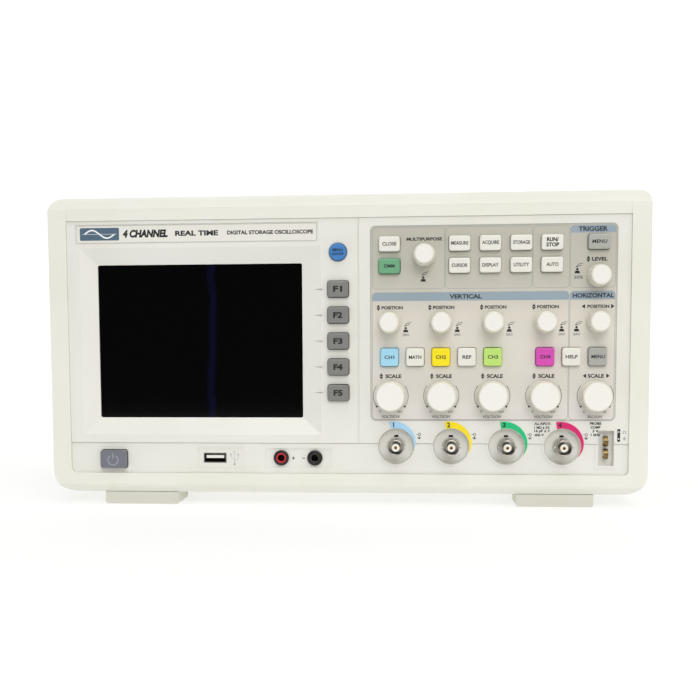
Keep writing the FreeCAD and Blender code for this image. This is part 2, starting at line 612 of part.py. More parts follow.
def probe_block(label, wall, deep):
    """The recess of the probe terminals, or the wall round it."""
    return block(label, (f"clip_col - probe_half - {wall}", f"clip_col + probe_half + {wall}"), deep, (
        f"probe_low - {wall}", f"probe_high + {wall}"))


def screen():
    """The clear window and the liquid-crystal module behind it."""
    across = ("glass_left - glass_lap", "glass_right + glass_lap")
    up = ("glass_low - glass_lap", "glass_high + glass_lap")
    glass_back = "glass_front + glass_thick"
    finished("display_window", block("window", across, ("glass_front", glass_back), up))
    case = block("lcd_case", ("glass_left - 3", "glass_right + 3"), (
        glass_back, f"{glass_back} + lcd_thick"), ("glass_low - 3", "glass_high + 3"))
    driver = block("lcd_driver", ("glass_left + 12", "glass_left + 92"), (
        f"{glass_back} + lcd_thick", f"{glass_back} + lcd_thick + 1.6"), ("glass_low + 6", "glass_low + 40"))
    finished("lcd_module", gather("lcd", [case, driver]))


# --- sockets --------------------------------------------------------------------

def input_jacks():
    """Four bayonet inputs: a plated barrel with two lugs, an insulator and a centre contact."""
    solids = []
    floor = "panel_face + dish_deep"
    end = f"{floor} - barrel_long"
    for across in INPUTS:
        centre = (across, "input_row")
        barrel = join("barrel_solid", rod("barrel", "y", centre, "barrel_radius", (end, f"{floor} + 8")),
                      rod("barrel_flange", "y", centre, "barrel_radius + 2.4", (
                          f"{floor} + 2", f"{floor} + 4")),
                      rod("barrel_lug", "x", (f"{end} + 4.2", "input_row"), "lug_radius", (
                          f"{across} - lug_reach", f"{across} + lug_reach")))
        solids.append(trim("barrel_cut", barrel, rod("barrel_hollow", "y", centre, "barrel_bore", (
            f"{end} - 1", f"{end} + 9"))))
        solids.append(tube("insulator", "y", centre, "insulator_radius", "pin_radius", (
            f"{end} + 2.5", f"{end} + 9")))
        solids.append(rod("contact", "y", centre, "pin_radius", (f"{end} + 3.5", f"{end} + 9")))
    finished("input_jacks", gather("inputs", solids))


def front_sockets():
    """Memory-stick socket, two meter jacks and the two probe terminals."""
    mouth, rear = "panel_face + 2 * groove", "panel_face + usb_deep"
    outer = about("usb_outer", "usb", "usb_wide", "usb_high", (mouth, rear))
    inner = about("usb_inner", "usb", "(usb_wide - 2 * usb_skin)", "(usb_high - 2 * usb_skin)", (
        f"{mouth} - 1", f"{rear} - 1"))
    tongue = block("usb_tongue", ("usb_col - 5.6", "usb_col + 5.6"), (f"{mouth} + 1", f"{rear} - 1"), (
        "usb_row - 0.2", "usb_row + 1.6"))
    solids = [trim("usb_shell", outer, inner), tongue]
    front, back = "panel_face - groove", "panel_face - groove + jack_long"
    for across in ("jack_left", "jack_right"):
        centre = (across, "jack_row")
        solids.append(tube("jack_collar", "y", centre, "jack_radius", "jack_sleeve", (front, back)))
        socket = rod("jack_socket", "y", centre, "jack_sleeve", (f"{front} + groove", f"{back} + 1.5"))
        solids.append(trim("jack_sleeve", socket, rod("jack_way", "y", centre, "jack_bore", (
            f"{front} - 1", f"{front} + jack_long"))))
    for up in ("clip_low", "clip_high"):
        across = ("clip_col - clip_wide/2", "clip_col + clip_wide/2")
        hoop = tube("clip", "x", ("panel_face + 1.6", up), "clip_radius", "clip_radius - clip_thick", across)
        leg = block("clip_leg", across, ("panel_face + 4.3", "panel_face + dish_deep + 1"), (
            f"{up} - 0.5", f"{up} + 0.5"))
        limit = block("clip_limit", ("clip_col - clip_wide", "clip_col + clip_wide"), (
            "panel_face - 3", "panel_face + dish_deep"), (f"{up} - 4", f"{up} + 4"))
        solids.append(shared("clip_solid", join("clip_strip", hoop, leg), limit))
    finished("front_sockets", gather("sockets", solids))


def rear_sockets():
    """Mains inlet, network socket, device socket and trigger output, behind the rear wall."""
    inlet = about("inlet_body", "inlet", "inlet_wide", "inlet_high", (
        f"{BAY_FLOOR} - 24", f"{BAY_FLOOR} + 1.5"))
    solids = [trim("inlet", inlet, about("inlet_hollow", "inlet", 24, 16.4, (
        f"{BAY_FLOOR} - socket_deep", f"{BAY_FLOOR} + 2")))]
    solids += [block("inlet_blade", (f"inlet_col + {step} - 1", f"inlet_col + {step} + 1"), (
        f"{BAY_FLOOR} - socket_deep", f"{BAY_FLOOR} - 4.5"), (
        f"inlet_row + {rise} - 2", f"inlet_row + {rise} + 2")) for step, rise in ((-7, -2), (0, 2), (7, -2))]
    for name, wide, high in (("network", 11.8, 8.4), ("device", 8.6, 7.8)):
        body = about(f"{name}_body", name, f"{name}_wide", f"{name}_high", (
            f"{BAY_FLOOR} - socket_deep", BAY_FLOOR))
        solids.append(trim(f"{name}_socket", body, about(f"{name}_hollow", name, wide, high, (
            f"{BAY_FLOOR} - socket_deep + 4", f"{BAY_FLOOR} + 1"))))
    solids.append(about("device_tongue", "device", 5.6, 3.2, (
        f"{BAY_FLOOR} - socket_deep + 4", f"{BAY_FLOOR} - 1.5")))
    barrel = join("trigger_solid", rod("trigger_barrel", "y", TRIGGER_SOCKET, "barrel_radius", (
        f"{BAY_FLOOR} - 12", f"{BAY_FLOOR} + 11")),
                  rod("trigger_nut", "y", TRIGGER_SOCKET, 6.4, (
                      f"{BAY_FLOOR} - shell_wall", f"{BAY_FLOOR} + 1")),
                  rod("trigger_lug", "x", (f"{BAY_FLOOR} + 7", "trigger_row"), "lug_radius", (
                      "trigger_col - lug_reach", "trigger_col + lug_reach")))
    solids.append(trim("trigger_cut", barrel, rod("trigger_hollow", "y", TRIGGER_SOCKET, "barrel_bore", (
        f"{BAY_FLOOR} + 2", f"{BAY_FLOOR} + 12"))))
    solids.append(tube("trigger_insulator", "y", TRIGGER_SOCKET, "insulator_radius", "pin_radius", (
        f"{BAY_FLOOR} + 2", f"{BAY_FLOOR} + 8.5")))
    solids.append(rod("trigger_contact", "y", TRIGGER_SOCKET, "pin_radius", (
        f"{BAY_FLOOR} + 2", f"{BAY_FLOOR} + 7.5")))
    finished("rear_sockets", gather("rear_connectors", solids))


# --- circuit boards -------------------------------------------------------------

def encoder(across, up, carried):
    """An encoder's body and bush; one that presses has a square hollow for its carrier."""
    half = "coder_wide/2"
    body = join("coder_solid", block("coder", (f"{across} - {half}", f"{across} + {half}"), (
        "coder_front", "board_front"), (f"{up} - {half}", f"{up} + {half}")),
        rod("coder_bush", "y", (across, up), "bush_radius", ("panel_face + 0.2", "coder_front")))
    tools = [rod("coder_bore", "y", (across, up), "shaft_radius + running", (
        "panel_face", "board_front - 1"))]
    if carried:
        reach = "(carrier_wide/2 + 0.1)"
        tools.append(block("coder_hollow", (f"{across} - {reach}", f"{across} + {reach}"), (
            "carrier_front", "board_front - 0.4"), (f"{up} - {reach}", f"{up} + {reach}")))
    return trim("coder_cut", body, *tools)


def circuit_boards():
    """Key board with its switches and encoders, main board with shields, and the power supply."""
    board_back = "board_front + board_thick"
    solids = [block("key_board", ("soft_col - 10", f"{column(8)} + 10"), ("board_front", board_back), (
        58, 172))]
    for across, up, _, _ in KEYS.values():
        solids.append(switch(across, up))
    solids.append(switch("soft_col", "onoff_row"))
    solids.append(block("power_switch", ("power_col - 7", "power_col + 7"), (
        "board_front - switch_high", "board_front + 12"), ("power_row - 6", "power_row + 6")))
    solids += [encoder(across, up, True) for across, up in PUSH_KNOBS.values()]
    solids += [encoder(across, up, False) for across, up in DIALS.values()]
    main_front = "board_back - board_thick"
    solids.append(block("main_board", (-163, 163), (main_front, "board_back"), (24, 172)))
    solids += [block("shield", (low, low + 32), (f"{main_front} - 12", main_front), (56, 110))
               for low in (18, 54, 90, 126)]
    solids.append(block("processor", (-60, -30), (f"{main_front} - 3", main_front), (100, 130)))
    supply_front = "supply_back - board_thick"
    solids.append(block("supply_board", (-148, 40), (supply_front, "supply_back"), (70, 166)))
    solids.append(block("transformer", (-70, -34), (f"{supply_front} - 28", supply_front), (96, 130)))
    solids.append(block("heat_sink", (-10, -4), (f"{supply_front} - 26", supply_front), (84, 150)))
    solids += [rod("capacitor", "y", (across, 140), 9, (f"{supply_front} - 26", supply_front))
               for across in (-128, -104)]
    finished("circuit_boards", gather("boards", solids))


def switch(across, up):
    """The small push switch under a key."""
    return block("switch", (f"{across} - switch_wide/2", f"{across} + switch_wide/2"), (
        "board_front - switch_high", "board_front"), (f"{up} - switch_wide/2", f"{up} + switch_wide/2"))


# --- feet, legs, handle, fan and screws -----------------------------------------

def feet():
    """Two front feet with ears for the tilting legs, and two plain rear feet."""
    solids = []
    low, high = "foot_col - foot_wide/2", "foot_col + foot_wide/2"
    top = "case_under + shell_inset"
    for side in (-1, 1):
        left, right = (low, high) if side == 1 else (f"-({high})", f"-({low})")
        profile = [(left, top), (left, "foot_bevel"), (f"{left} + foot_bevel * 0.7", 0),
                   (f"{right} - foot_bevel * 0.7", 0), (right, "foot_bevel"), (right, top)]
        levels = [block("foot_level", (left, right), deep, (0, high)) for deep, high in (
            (("foot_front", "seam"), "case_under"), (("seam", 0), top))]
        foot = shared("foot", prism("foot_profile", "y", ("foot_front", "foot_front + foot_deep"), profile),
                      join("foot_levels", *levels))
        ears = [block("ear", span, ("foot_front + foot_deep", "leg_axis_y + 4.5"), (1, top)) for span in (
            (left, f"{left} + 4"), (f"{right} - 4", right))]
        bore = rod("ear_bore", "x", ("leg_axis_y", "leg_axis_z"), "leg_pin + running", (left, right))
        solids.append(trim("foot_solid", join("foot_with_ears", foot, *ears), bore))
        solids.append(prism("rear_foot", "y", ("back - heel - 22", "back - heel - 4"), [
            (f"{left} + 8", top), (f"{left} + 8", 2), (f"{left} + 10", 0), (f"{right} - 10", 0),
            (f"{right} - 8", 2), (f"{right} - 8", top)]))
    finished("support_feet", gather("all_feet", solids))


def leg(name, side):
    """A tilting leg: a plate with a round hinge end and a pin through it, folded flat behind its foot."""
    centre = f"{side} * foot_col"
    half = "leg_wide/2"
    plate = prism(f"leg_{name}_plate", "x", (f"{centre} - {half}", f"{centre} + {half}"), [
        ("leg_axis_y", "leg_axis_z - leg_thick/2"), ("leg_axis_y + leg_long", "leg_axis_z - leg_thick/2"),
        ("leg_axis_y + leg_long", "leg_axis_z + leg_thick/2"), ("leg_axis_y", "leg_axis_z + leg_thick/2")],
        [(1.2, lambda middle: middle.y > value("leg_axis_y") + 1)])
    hinge = rod(f"leg_{name}_barrel", "x", ("leg_axis_y", "leg_axis_z"), "leg_thick/2 + 0.6", (
        f"{centre} - {half}", f"{centre} + {half}"))
    pin = rod(f"leg_{name}_pin", "x", ("leg_axis_y", "leg_axis_z"), "leg_pin", (
        f"{centre} - foot_wide/2 + 0.5", f"{centre} + foot_wide/2 - 0.5"))
    finished(f"tilt_leg_{name}", join(f"leg_{name}", plate, hinge, pin))


def handle():
    """The carrying handle: two arms and a grip, on stub pins that turn in the tub's side walls."""
    arms = []
    low, high = "handle_axis_z - handle_thick/2", "handle_axis_z + handle_thick/2"
    for side in (-1, 1):
        near, far = f"{side} * (handle_half - 7)", f"{side} * handle_half"
        span = (near, far) if side == 1 else (far, near)
        arms.append(block("arm", span, ("handle_axis_y", "handle_axis_y + handle_reach"), (low, high)))
        arms.append(rod("arm_end", "x", ("handle_axis_y", "handle_axis_z"), "handle_thick/2", span))
        pin = (far, "tub_half + 2.8") if side == 1 else ("-tub_half - 2.8", far)
        arms.append(rod("arm_pin", "x", ("handle_axis_y", "handle_axis_z"), "handle_pin", pin))
    near, far = "handle_axis_y + handle_reach - 8", "handle_axis_y + handle_reach + 5"
    grip = prism("grip", "x", ("-handle_half", "handle_half"), [
        (near, low), (far, low), (far, high), (near, high)], [(3.5, lambda middle: True)])
    finished("carry_handle", join("handle", grip, *arms))


def fan():
    """The fan's rotor: a hub with seven pitched blades, turning on the shroud's pin."""
    centre = ("fan_col", "fan_row")
    hub = rod("rotor_hub", "y", centre, "fan_hub", ("fan_front", "fan_front + fan_deep"))
    blades = []
    for number in range(7):
        pitched = gather("pitched_blade", [block("blade", ("fan_hub - 1", "fan_radius"), (-1, 1), (-8, 8))])
        pitched.Placement.Rotation = FreeCAD.Rotation(FreeCAD.Vector(1, 0, 0), 50)
        turned_blade = gather("turned_blade", [pitched])
        turned_blade.Placement.Rotation = FreeCAD.Rotation(FreeCAD.Vector(0, 1, 0), number * 360 / 7)
        blades.append(place(turned_blade, x="fan_col", y="fan_front + fan_deep/2", z="fan_row"))
    bore = rod("rotor_bore", "y", centre, "tail_radius + running", (
        "fan_front - 1", "fan_front + fan_deep - 1.5"))
    finished("fan_rotor", trim("rotor", join("rotor_solid", hub, *blades), bore))


def screws():
    """The four long screws that pull the rear shell on to the frame."""
    solids = []
    for centre in SCREW_PLACES:
        head = rod("screw_head", "y", centre, "head_radius", (0, 2.2))
        shank = rod("screw_shank", "y", centre, "screw_radius", ("face + frame_front + 2", 0))
        slot = block("screw_slot", (f"{centre[0]} - 0.5", f"{centre[0]} + 0.5"), (1.2, 3), (
            f"{centre[1]} - 2.2", f"{centre[1]} + 2.2"))
        solids.append(trim("screw", join("screw_solid", head, shank), slot))
    finished("case_screws", gather("screws", solids))


# --- the whole instrument -------------------------------------------------------

front_frame()
rear_shell()
front_panel()
screen()
for name, (across, up, wide, high) in KEYS.items():
    key(name, across, up, wide, high, "key_travel")
key("key_power", *POWER_KEY, "power_travel")
round_key()
for name, (across, up) in PUSH_KNOBS.items():
    push_knob(name, across, up)
for name, (across, up) in DIALS.items():
    dial(name, across, up)
input_jacks()
front_sockets()
rear_sockets()
circuit_boards()
feet()
leg("left", -1)
leg("right", 1)
handle()
fan()
screws()
doc.recompute()

faults = [one.Label for one in doc.Objects if {"Invalid", "Error"} & set(one.State)]
faults += [one.Label for one in SUB_PARTS if one.Shape.isNull() or not one.Shape.isValid()]
if faults:
    raise SystemExit(f"these pieces failed: {faults}")
os.makedirs("parts", exist_ok=True)
for piece in SUB_PARTS:
    piece.Shape.exportStep(f"parts/{piece.Label}.step")
print(len(SUB_PARTS), "sub-parts written")
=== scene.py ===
import math

import bmesh
import bpy
import numpy as np
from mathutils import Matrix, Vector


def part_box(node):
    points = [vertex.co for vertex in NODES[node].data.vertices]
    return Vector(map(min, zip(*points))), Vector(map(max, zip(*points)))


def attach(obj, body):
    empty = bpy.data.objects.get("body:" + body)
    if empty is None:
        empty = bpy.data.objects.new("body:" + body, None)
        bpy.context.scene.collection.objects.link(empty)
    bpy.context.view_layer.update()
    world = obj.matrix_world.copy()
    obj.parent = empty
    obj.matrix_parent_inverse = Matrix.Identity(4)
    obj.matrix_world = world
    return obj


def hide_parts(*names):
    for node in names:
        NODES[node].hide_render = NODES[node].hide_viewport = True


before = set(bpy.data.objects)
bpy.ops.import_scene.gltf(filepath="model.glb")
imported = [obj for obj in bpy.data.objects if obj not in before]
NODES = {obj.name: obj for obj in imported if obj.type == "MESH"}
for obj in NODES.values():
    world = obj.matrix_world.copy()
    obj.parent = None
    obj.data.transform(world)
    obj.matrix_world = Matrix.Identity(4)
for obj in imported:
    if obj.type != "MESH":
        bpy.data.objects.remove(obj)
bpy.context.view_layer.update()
MM = 0.001

# --- The camera, the floor and the studio lights ---------------------------------
# A product shot: a camera a little left of the controls and just above the middle of
# the panel, a white sweep, softboxes overhead and in front, and a panel at each side.

EYE_DISTANCE = 650 * MM
LOOKS_AT = (53 * MM, -52 * MM, 103 * MM)
YAW, PITCH, ROLL = math.radians(4.8), math.radians(-4.7), math.radians(0.27)

eye = bpy.data.objects.new("camera", bpy.data.cameras.new("camera"))
eye.data.lens = 54.33
eye.data.shift_x = 0.0132
eye.data.shift_y = 0.1114
eye.data.clip_end = 50
eye.location = (LOOKS_AT[0], LOOKS_AT[1] - EYE_DISTANCE, LOOKS_AT[2])
eye.rotation_euler = (math.radians(90) + PITCH, ROLL, YAW)
bpy.context.scene.collection.objects.link(eye)
bpy.context.scene.camera = eye
bpy.context.scene.view_settings.view_transform = "Standard"


def linear(code):
    """An sRGB hex colour as linear light."""
    parts = [int(code[place:place + 2], 16) / 255 for place in (1, 3, 5)]
    light = [part / 12.92 if part <= 0.04045 else ((part + 0.055) / 1.055) ** 2.4
             for part in parts]
    return light + [1]


def add(tree, kind, links=None, **settings):
    """Adds one node; settings fill its properties or sockets, and links feed its sockets."""
    one = tree.nodes.new("ShaderNode" + kind)
    for name, setting in settings.items():
        if name in one.bl_rna.properties:
            setattr(one, name, setting)
        else:
            one.inputs[name.replace("_", " ")].default_value = setting
    for name, source in (links or {}).items():
        tree.links.new(source, one.inputs[name])
    return one


def mesh_piece(name, corners, faces, finish, body, smooth=False):
    """A piece from corner and face arrays; faces all have the same number of sides."""
    mesh = bpy.data.meshes.new(name)
    corners, faces = np.asarray(corners, np.float32), np.asarray(faces, np.int32)
    sides = faces.shape[1]
    mesh.vertices.add(len(corners))
    mesh.vertices.foreach_set("co", corners.ravel())
    mesh.loops.add(faces.size)
    mesh.loops.foreach_set("vertex_index", faces.ravel())
    mesh.polygons.add(len(faces))
    mesh.polygons.foreach_set("loop_start", np.arange(0, faces.size, sides, dtype=np.int32))
    mesh.polygons.foreach_set("use_smooth", np.full(len(faces), smooth))
    mesh.update(calc_edges=True)
    mesh.validate()
    mesh.materials.append(finish)
    piece = bpy.data.objects.new(name, mesh)
    bpy.context.scene.collection.objects.link(piece)
    if body:
        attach(piece, body)
    return piece


def studio_white():
    """Matt grey-white acrylic whose emission is painted light, a glow stronger toward the wall,
    with a trace of tooth.
    """
    paint = bpy.data.materials.new("sweep_painted_glow")
    paint.use_nodes = True
    tree = paint.node_tree
    shader = tree.nodes["Principled BSDF"]
    shader.inputs["Base Color"].default_value = linear("#A6A6A4")
    shader.inputs["Roughness"].default_value = 0.9
    shader.inputs["Emission Color"].default_value = linear("#FFFFFF")
    place = add(tree, "TexCoord")
    axes = add(tree, "SeparateXYZ", {"Vector": place.outputs["Object"]})
    # Painted light: the sweep's emission grows from near the instrument toward the wall.
    painted_glow = add(tree, "MapRange", {"Value": axes.outputs["Y"]}, From_Min=0.1, From_Max=1.5,
               To_Min=0.62, To_Max=0.95)
    tree.links.new(painted_glow.outputs["Result"], shader.inputs["Emission Strength"])
    tooth = add(tree, "TexNoise", {"Vector": place.outputs["Object"]}, Scale=1 / (3 * MM))
    bump = add(tree, "Bump", {"Height": tooth.outputs["Fac"]}, Strength=0.04, Distance=0.2 * MM)
    tree.links.new(bump.outputs["Normal"], shader.inputs["Normal"])
    return paint


def sweep():
    """A floor that curves up behind: floor, quarter circle and wall, carried sideways."""
    half, rise, back = 7.0, 1.2, 2.6
    near_edge, wall_top = -0.82, 7.0
    turn = np.linspace(0, math.pi / 2, 24)
    ahead = np.concatenate([[near_edge], back + rise * np.sin(turn), [back + rise]])
    above = np.concatenate([[0.0], rise - rise * np.cos(turn), [wall_top]])
    left = np.stack([np.full_like(ahead, -half), ahead, above], 1)
    right = left * [-1, 1, 1]
    count = len(ahead)
    low = np.arange(count - 1)
    faces = np.stack([low, low + count, low + count + 1, low + 1], 1)
    corners = np.concatenate([left, right])
    return mesh_piece("sweep", corners, faces, studio_white(), None, smooth=True)


sweep()
AIM = (0, 0, 0.1)


def softbox(name, place, size, power, tint="#FFFFFF"):
    """A flat soft light that faces the middle of the instrument."""
    lamp = bpy.data.objects.new(name, bpy.data.lights.new(name, "AREA"))
    lamp.data.shape = "RECTANGLE"
    lamp.data.size, lamp.data.size_y = size
    lamp.data.energy = power
    lamp.data.color = linear(tint)[:3]
    lamp.location = place
    way = np.subtract(AIM, place)
    flat = math.hypot(way[0], way[1])
    lamp.rotation_euler = (math.atan2(flat, -way[2]), 0, math.atan2(-way[0], way[1]))
    bpy.context.scene.collection.objects.link(lamp)


softbox("overhead_softbox", (0.1, -0.45, 1.6), (1.6, 1.0), 12.5)
softbox("front_softbox", (0.35, -1.9, 1.25), (1.4, 0.9), 20)
softbox("right_panel", (1.6, -1.0, 0.8), (0.9, 1.1), 5, "#FFF3E2")
softbox("left_panel", (-1.7, -0.8, 0.8), (0.9, 1.1), 4)
studio = bpy.data.worlds.new("studio_air")
studio.use_nodes = True
studio.node_tree.nodes["Background"].inputs["Color"].default_value = linear("#FFFFFF")
studio.node_tree.nodes["Background"].inputs["Strength"].default_value = 0.115
bpy.context.scene.world = studio

# --- The case: front frame and rear shell ----------------------------------------
# Two injection mouldings in warm off-white ABS.  The tool was spark-eroded, so the
# skin has a fine even grain that breaks up highlights; long sun turns it a little yellow.

GRAIN = 0.45 * MM
CLOUDING = 60 * MM


def moulded(name, colour, roughness=0.42, grain=0.05, cloud=0.05, coat=0.0):
    """Moulded plastic: faint clouding of colour, and a spark-eroded grain in gloss and surface."""
    paint = bpy.data.materials.new(name)
    paint.use_nodes = True
    tree = paint.node_tree
    shader = tree.nodes["Principled BSDF"]
    shader.inputs["IOR"].default_value = 1.53
    shader.inputs["Coat Weight"].default_value = coat
    place = add(tree, "TexCoord")
    clouds = add(tree, "TexNoise", {"Vector": place.outputs["Object"]}, Scale=1 / CLOUDING,
                 Detail=3)
    tone = linear(colour)
    yellowed = [part * (1 - cloud) for part in tone[:2]] + [tone[2] * (1 - 1.6 * cloud), 1]
    tint = add(tree, "ValToRGB", {"Fac": clouds.outputs["Fac"]})
    tint.color_ramp.elements[0].position = 0.3
    tint.color_ramp.elements[0].color = yellowed
    tint.color_ramp.elements[1].position = 0.7
    tint.color_ramp.elements[1].color = tone
    tree.links.new(tint.outputs["Color"], shader.inputs["Base Color"])
    pits = add(tree, "TexNoise", {"Vector": place.outputs["Object"]}, Scale=1 / GRAIN, Detail=2)
    gloss = add(tree, "MapRange", {"Value": pits.outputs["Fac"]}, To_Min=roughness - 0.06,
                To_Max=roughness + 0.08)
    tree.links.new(gloss.outputs["Result"], shader.inputs["Roughness"])
    bump = add(tree, "Bump", {"Height": pits.outputs["Fac"]}, Strength=grain * 4, Distance=0.1 * MM)
    tree.links.new(bump.outputs["Normal"], shader.inputs["Normal"])
    return paint


def dress(node, finish):
    """Gives a carried-over node its finish."""
    NODES[node].data.materials.clear()
    NODES[node].data.materials.append(finish)


case_abs = moulded("spark_eroded_abs_ivory", "#EBEBE2", 0.46)
dress("front_frame", case_abs)
dress("rear_case", case_abs)
dress("carry_handle", moulded("spark_eroded_abs_handle", "#DAD6C8", 0.5))
foot_abs = moulded("spark_eroded_abs_feet", "#D9D8CD", 0.5)
for node in ("support_feet", "tilt_leg_left", "tilt_leg_right"):
    dress(node, foot_abs)

# --- The front panel ---------------------------------------------------------------
# A second moulding in a slightly cooler white, set into the frame from behind.  Its
# tool was finer, so the skin is smoother and the sunk parts read by their shadows.

dress("front_panel", moulded("fine_grain_abs_panel", "#EAE9E3", 0.4, grain=0.03))
PANEL = -50.7  # the face of the panel along Y, in millimetres
HAIR = 0.02  # how far a print stands in front of what it is on


def middle(node):
    """The middle of a node seen from the front, in millimetres."""
    low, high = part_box(node)
    return (low.x + high.x) / 2 / MM, (low.z + high.z) / 2 / MM


def polar(across, up, radius, turn):
    """Points at a radius round a middle."""
    return np.stack([across + radius * np.cos(turn), up + radius * np.sin(turn)], 1)


def rounded_path(left, right, low, high, radius):
    """Points round a rectangle with rounded corners, anticlockwise from the lower right."""
    turn = np.linspace(0, math.pi / 2, 6)
    return np.concatenate([polar(right - radius, low + radius, radius, turn - math.pi / 2),
                           polar(right - radius, high - radius, radius, turn),
                           polar(left + radius, high - radius, radius, turn + math.pi / 2),
                           polar(left + radius, low + radius, radius, turn + math.pi)])


def patch(points):
    """A filled shape: a fan of triangles from the middle of its points."""
    points = np.asarray(points, float)
    count = len(points)
    rim = np.arange(count)
    faces = np.stack([np.full(count, count), rim, (rim + 1) % count], 1)
    return np.concatenate([points, points.mean(0, keepdims=True)]), faces


def line(path, width, closed=False):
    """A printed line: a path moved half the width to each side, square to the mean of two runs."""
    path = np.asarray(path, float)
    ahead = np.roll(path, -1, 0) - path
    if not closed:
        ahead[-1] = ahead[-2]
    ahead /= np.linalg.norm(ahead, axis=1, keepdims=True)
    behind = np.roll(ahead, 1, 0)
    if not closed:
        behind[0] = ahead[0]
    mean = ahead + behind
    mean /= np.linalg.norm(mean, axis=1, keepdims=True)
    stretch = 1 / np.maximum((mean * ahead).sum(1, keepdims=True), 0.5)
    side = np.stack([-mean[:, 1], mean[:, 0]], 1) * stretch * width / 2
    count = len(path)
    near = np.arange(count if closed else count - 1)
    far = (near + 1) % count
    faces = np.concatenate([np.stack([near, far + count, near + count], 1),
                            np.stack([near, far, far + count], 1)])
    return np.concatenate([path - side, path + side]), faces


def ring(across, up, radius, width, start=0, end=360):
    """A printed arc of even width."""
    turn = np.radians(np.linspace(start, end, max(8, int(abs(end - start) / 6))))
    return line(polar(across, up, radius, turn), width)


def disc(across, up, radius, steps=20):
    """A filled disc."""
    return patch(polar(across, up, radius, np.linspace(0, 2 * math.pi, steps, endpoint=False)))


CAP_SHARE = 0.70  # the height of a capital as a share of the size of the type


def lettering(words, across, up, tall, wide=None, weight=0.06, lean=0.0):
    """Flat letters with capitals of a given height, centred on a point and spread to a width."""
    curve = bpy.data.curves.new("letters", "FONT")
    curve.body = words
    curve.size = tall / CAP_SHARE
    curve.align_x = "CENTER"
    curve.offset = weight * tall
    curve.resolution_u = 4
    curve.shear = lean
    holder = bpy.data.objects.new("letters", curve)
    bpy.context.scene.collection.objects.link(holder)
    bpy.context.view_layer.update()
    mesh = bpy.data.meshes.new_from_object(holder)
    mesh.calc_loop_triangles()
    corners = np.zeros(len(mesh.vertices) * 3, np.float32)
    mesh.vertices.foreach_get("co", corners)
    faces = np.zeros(len(mesh.loop_triangles) * 3, np.int32)
    mesh.loop_triangles.foreach_get("vertices", faces)
    bpy.data.objects.remove(holder)
    bpy.data.curves.remove(curve)
    bpy.data.meshes.remove(mesh)
    flat = corners.reshape(-1, 3)[:, :2].astype(float)
    low, high = flat.min(0), flat.max(0)
    flat -= (low + high) / 2
    if wide:
        flat[:, 0] *= wide / (high[0] - low[0])
    return flat + [across, up], faces.reshape(-1, 3)


def printed(name, shapes, finish, body, level):
    """Flat shapes as one piece that faces the front, at one level."""
    corners, faces, count = [], [], 0
    for points, triangles in shapes:
        corners.append(points)
        faces.append(np.asarray(triangles) + count)
        count += len(points)
    flat = np.concatenate(corners)
    faces = np.concatenate(faces)
    first, second, third = (flat[faces[:, side]] for side in range(3))
    spin = np.cross(second - first, third - first)
    faces[spin < 0] = faces[spin < 0][:, ::-1]
    solid = np.stack([flat[:, 0], np.full(len(flat), level), flat[:, 1]], 1) * MM
    return mesh_piece(name, solid, faces[np.abs(spin) > 1e-9], finish, body)


def ink(name, colour, roughness=0.5):
    """Screen ink: a thin opaque coat with even gloss and slightly uneven density."""
    paint = bpy.data.materials.new(name)
    paint.use_nodes = True
    tree = paint.node_tree
    shader = tree.nodes["Principled BSDF"]
    shader.inputs["Roughness"].default_value = roughness
    place = add(tree, "TexCoord")
    mottle = add(tree, "TexNoise", {"Vector": place.outputs["Object"]}, Scale=1 / (0.6 * MM),
                 Detail=3)
    tint = add(tree, "ValToRGB", {"Fac": mottle.outputs["Fac"]})
    tone = linear(colour)
    tint.color_ramp.elements[0].position = 0.25
    tint.color_ramp.elements[0].color = [min(1, part * 1.12 + 0.004) for part in tone[:3]] + [1]
    tint.color_ramp.elements[1].position = 0.6
    tint.color_ramp.elements[1].color = tone
    tree.links.new(tint.outputs["Color"], shader.inputs["Base Color"])
    return paint


black_ink = ink("screen_ink_black", "#151518")
grey_ink = ink("screen_ink_grey", "#9A9C98")
soft_ink = ink("screen_ink_dark_grey", "#5B5C5E")
slate_ink = ink("screen_ink_slate", "#93A3AF")
white_ink = ink("screen_ink_white", "#F4F4F1")

# --- The name label ------------------------------------------------------------------
# A printed polyester label in the long seat above the screen: a slate tile with one
# cycle of a sine, the number of channels, and the kind of instrument.

LABEL_FACE = PANEL + 0.45
LAYER = 0.01
label_film = moulded("printed_polyester_label", "#E9E7DF", 0.35, grain=0.01, cloud=0.01)
printed("name_label", [patch(rounded_path(-167.4, -16, 164.4, 175.5, 0.9))], label_film,
        "instrument", LABEL_FACE)
printed("name_label_edge", [line(rounded_path(-167.1, -16.3, 164.7, 175.2, 0.8), 0.2, closed=True)],
        grey_ink, "instrument", LABEL_FACE - LAYER)
printed("name_tile", [patch(rounded_path(-165, -140, 166.2, 174, 0.7))],
        ink("screen_ink_deep_slate", "#4C6478"), "instrument", LABEL_FACE - 2 * LAYER)
LABEL_ROW = 170.1
phase = np.linspace(0, 2 * math.pi, 40)
wave = np.stack([-162 + 19 * phase / 6.283, LABEL_ROW + 2.4 * np.sin(phase)], 1)
printed("name_wave", [line(wave, 0.9), line([(-163.4, LABEL_ROW), (-141.6, LABEL_ROW)], 0.2)],
        white_ink, "instrument", LABEL_FACE - 4 * LAYER)
printed("name_words", [
    lettering("4 CHANNEL", -123.4, LABEL_ROW + 0.1, 4.2, 28.5, weight=0.08, lean=0.2),
    lettering("REAL TIME", -91, LABEL_ROW, 2.9, 27),
    lettering("DIGITAL STORAGE OSCILLOSCOPE", -45.1, LABEL_ROW, 2.2, 53.4)],
        black_ink, "instrument", LABEL_FACE - 2 * LAYER)
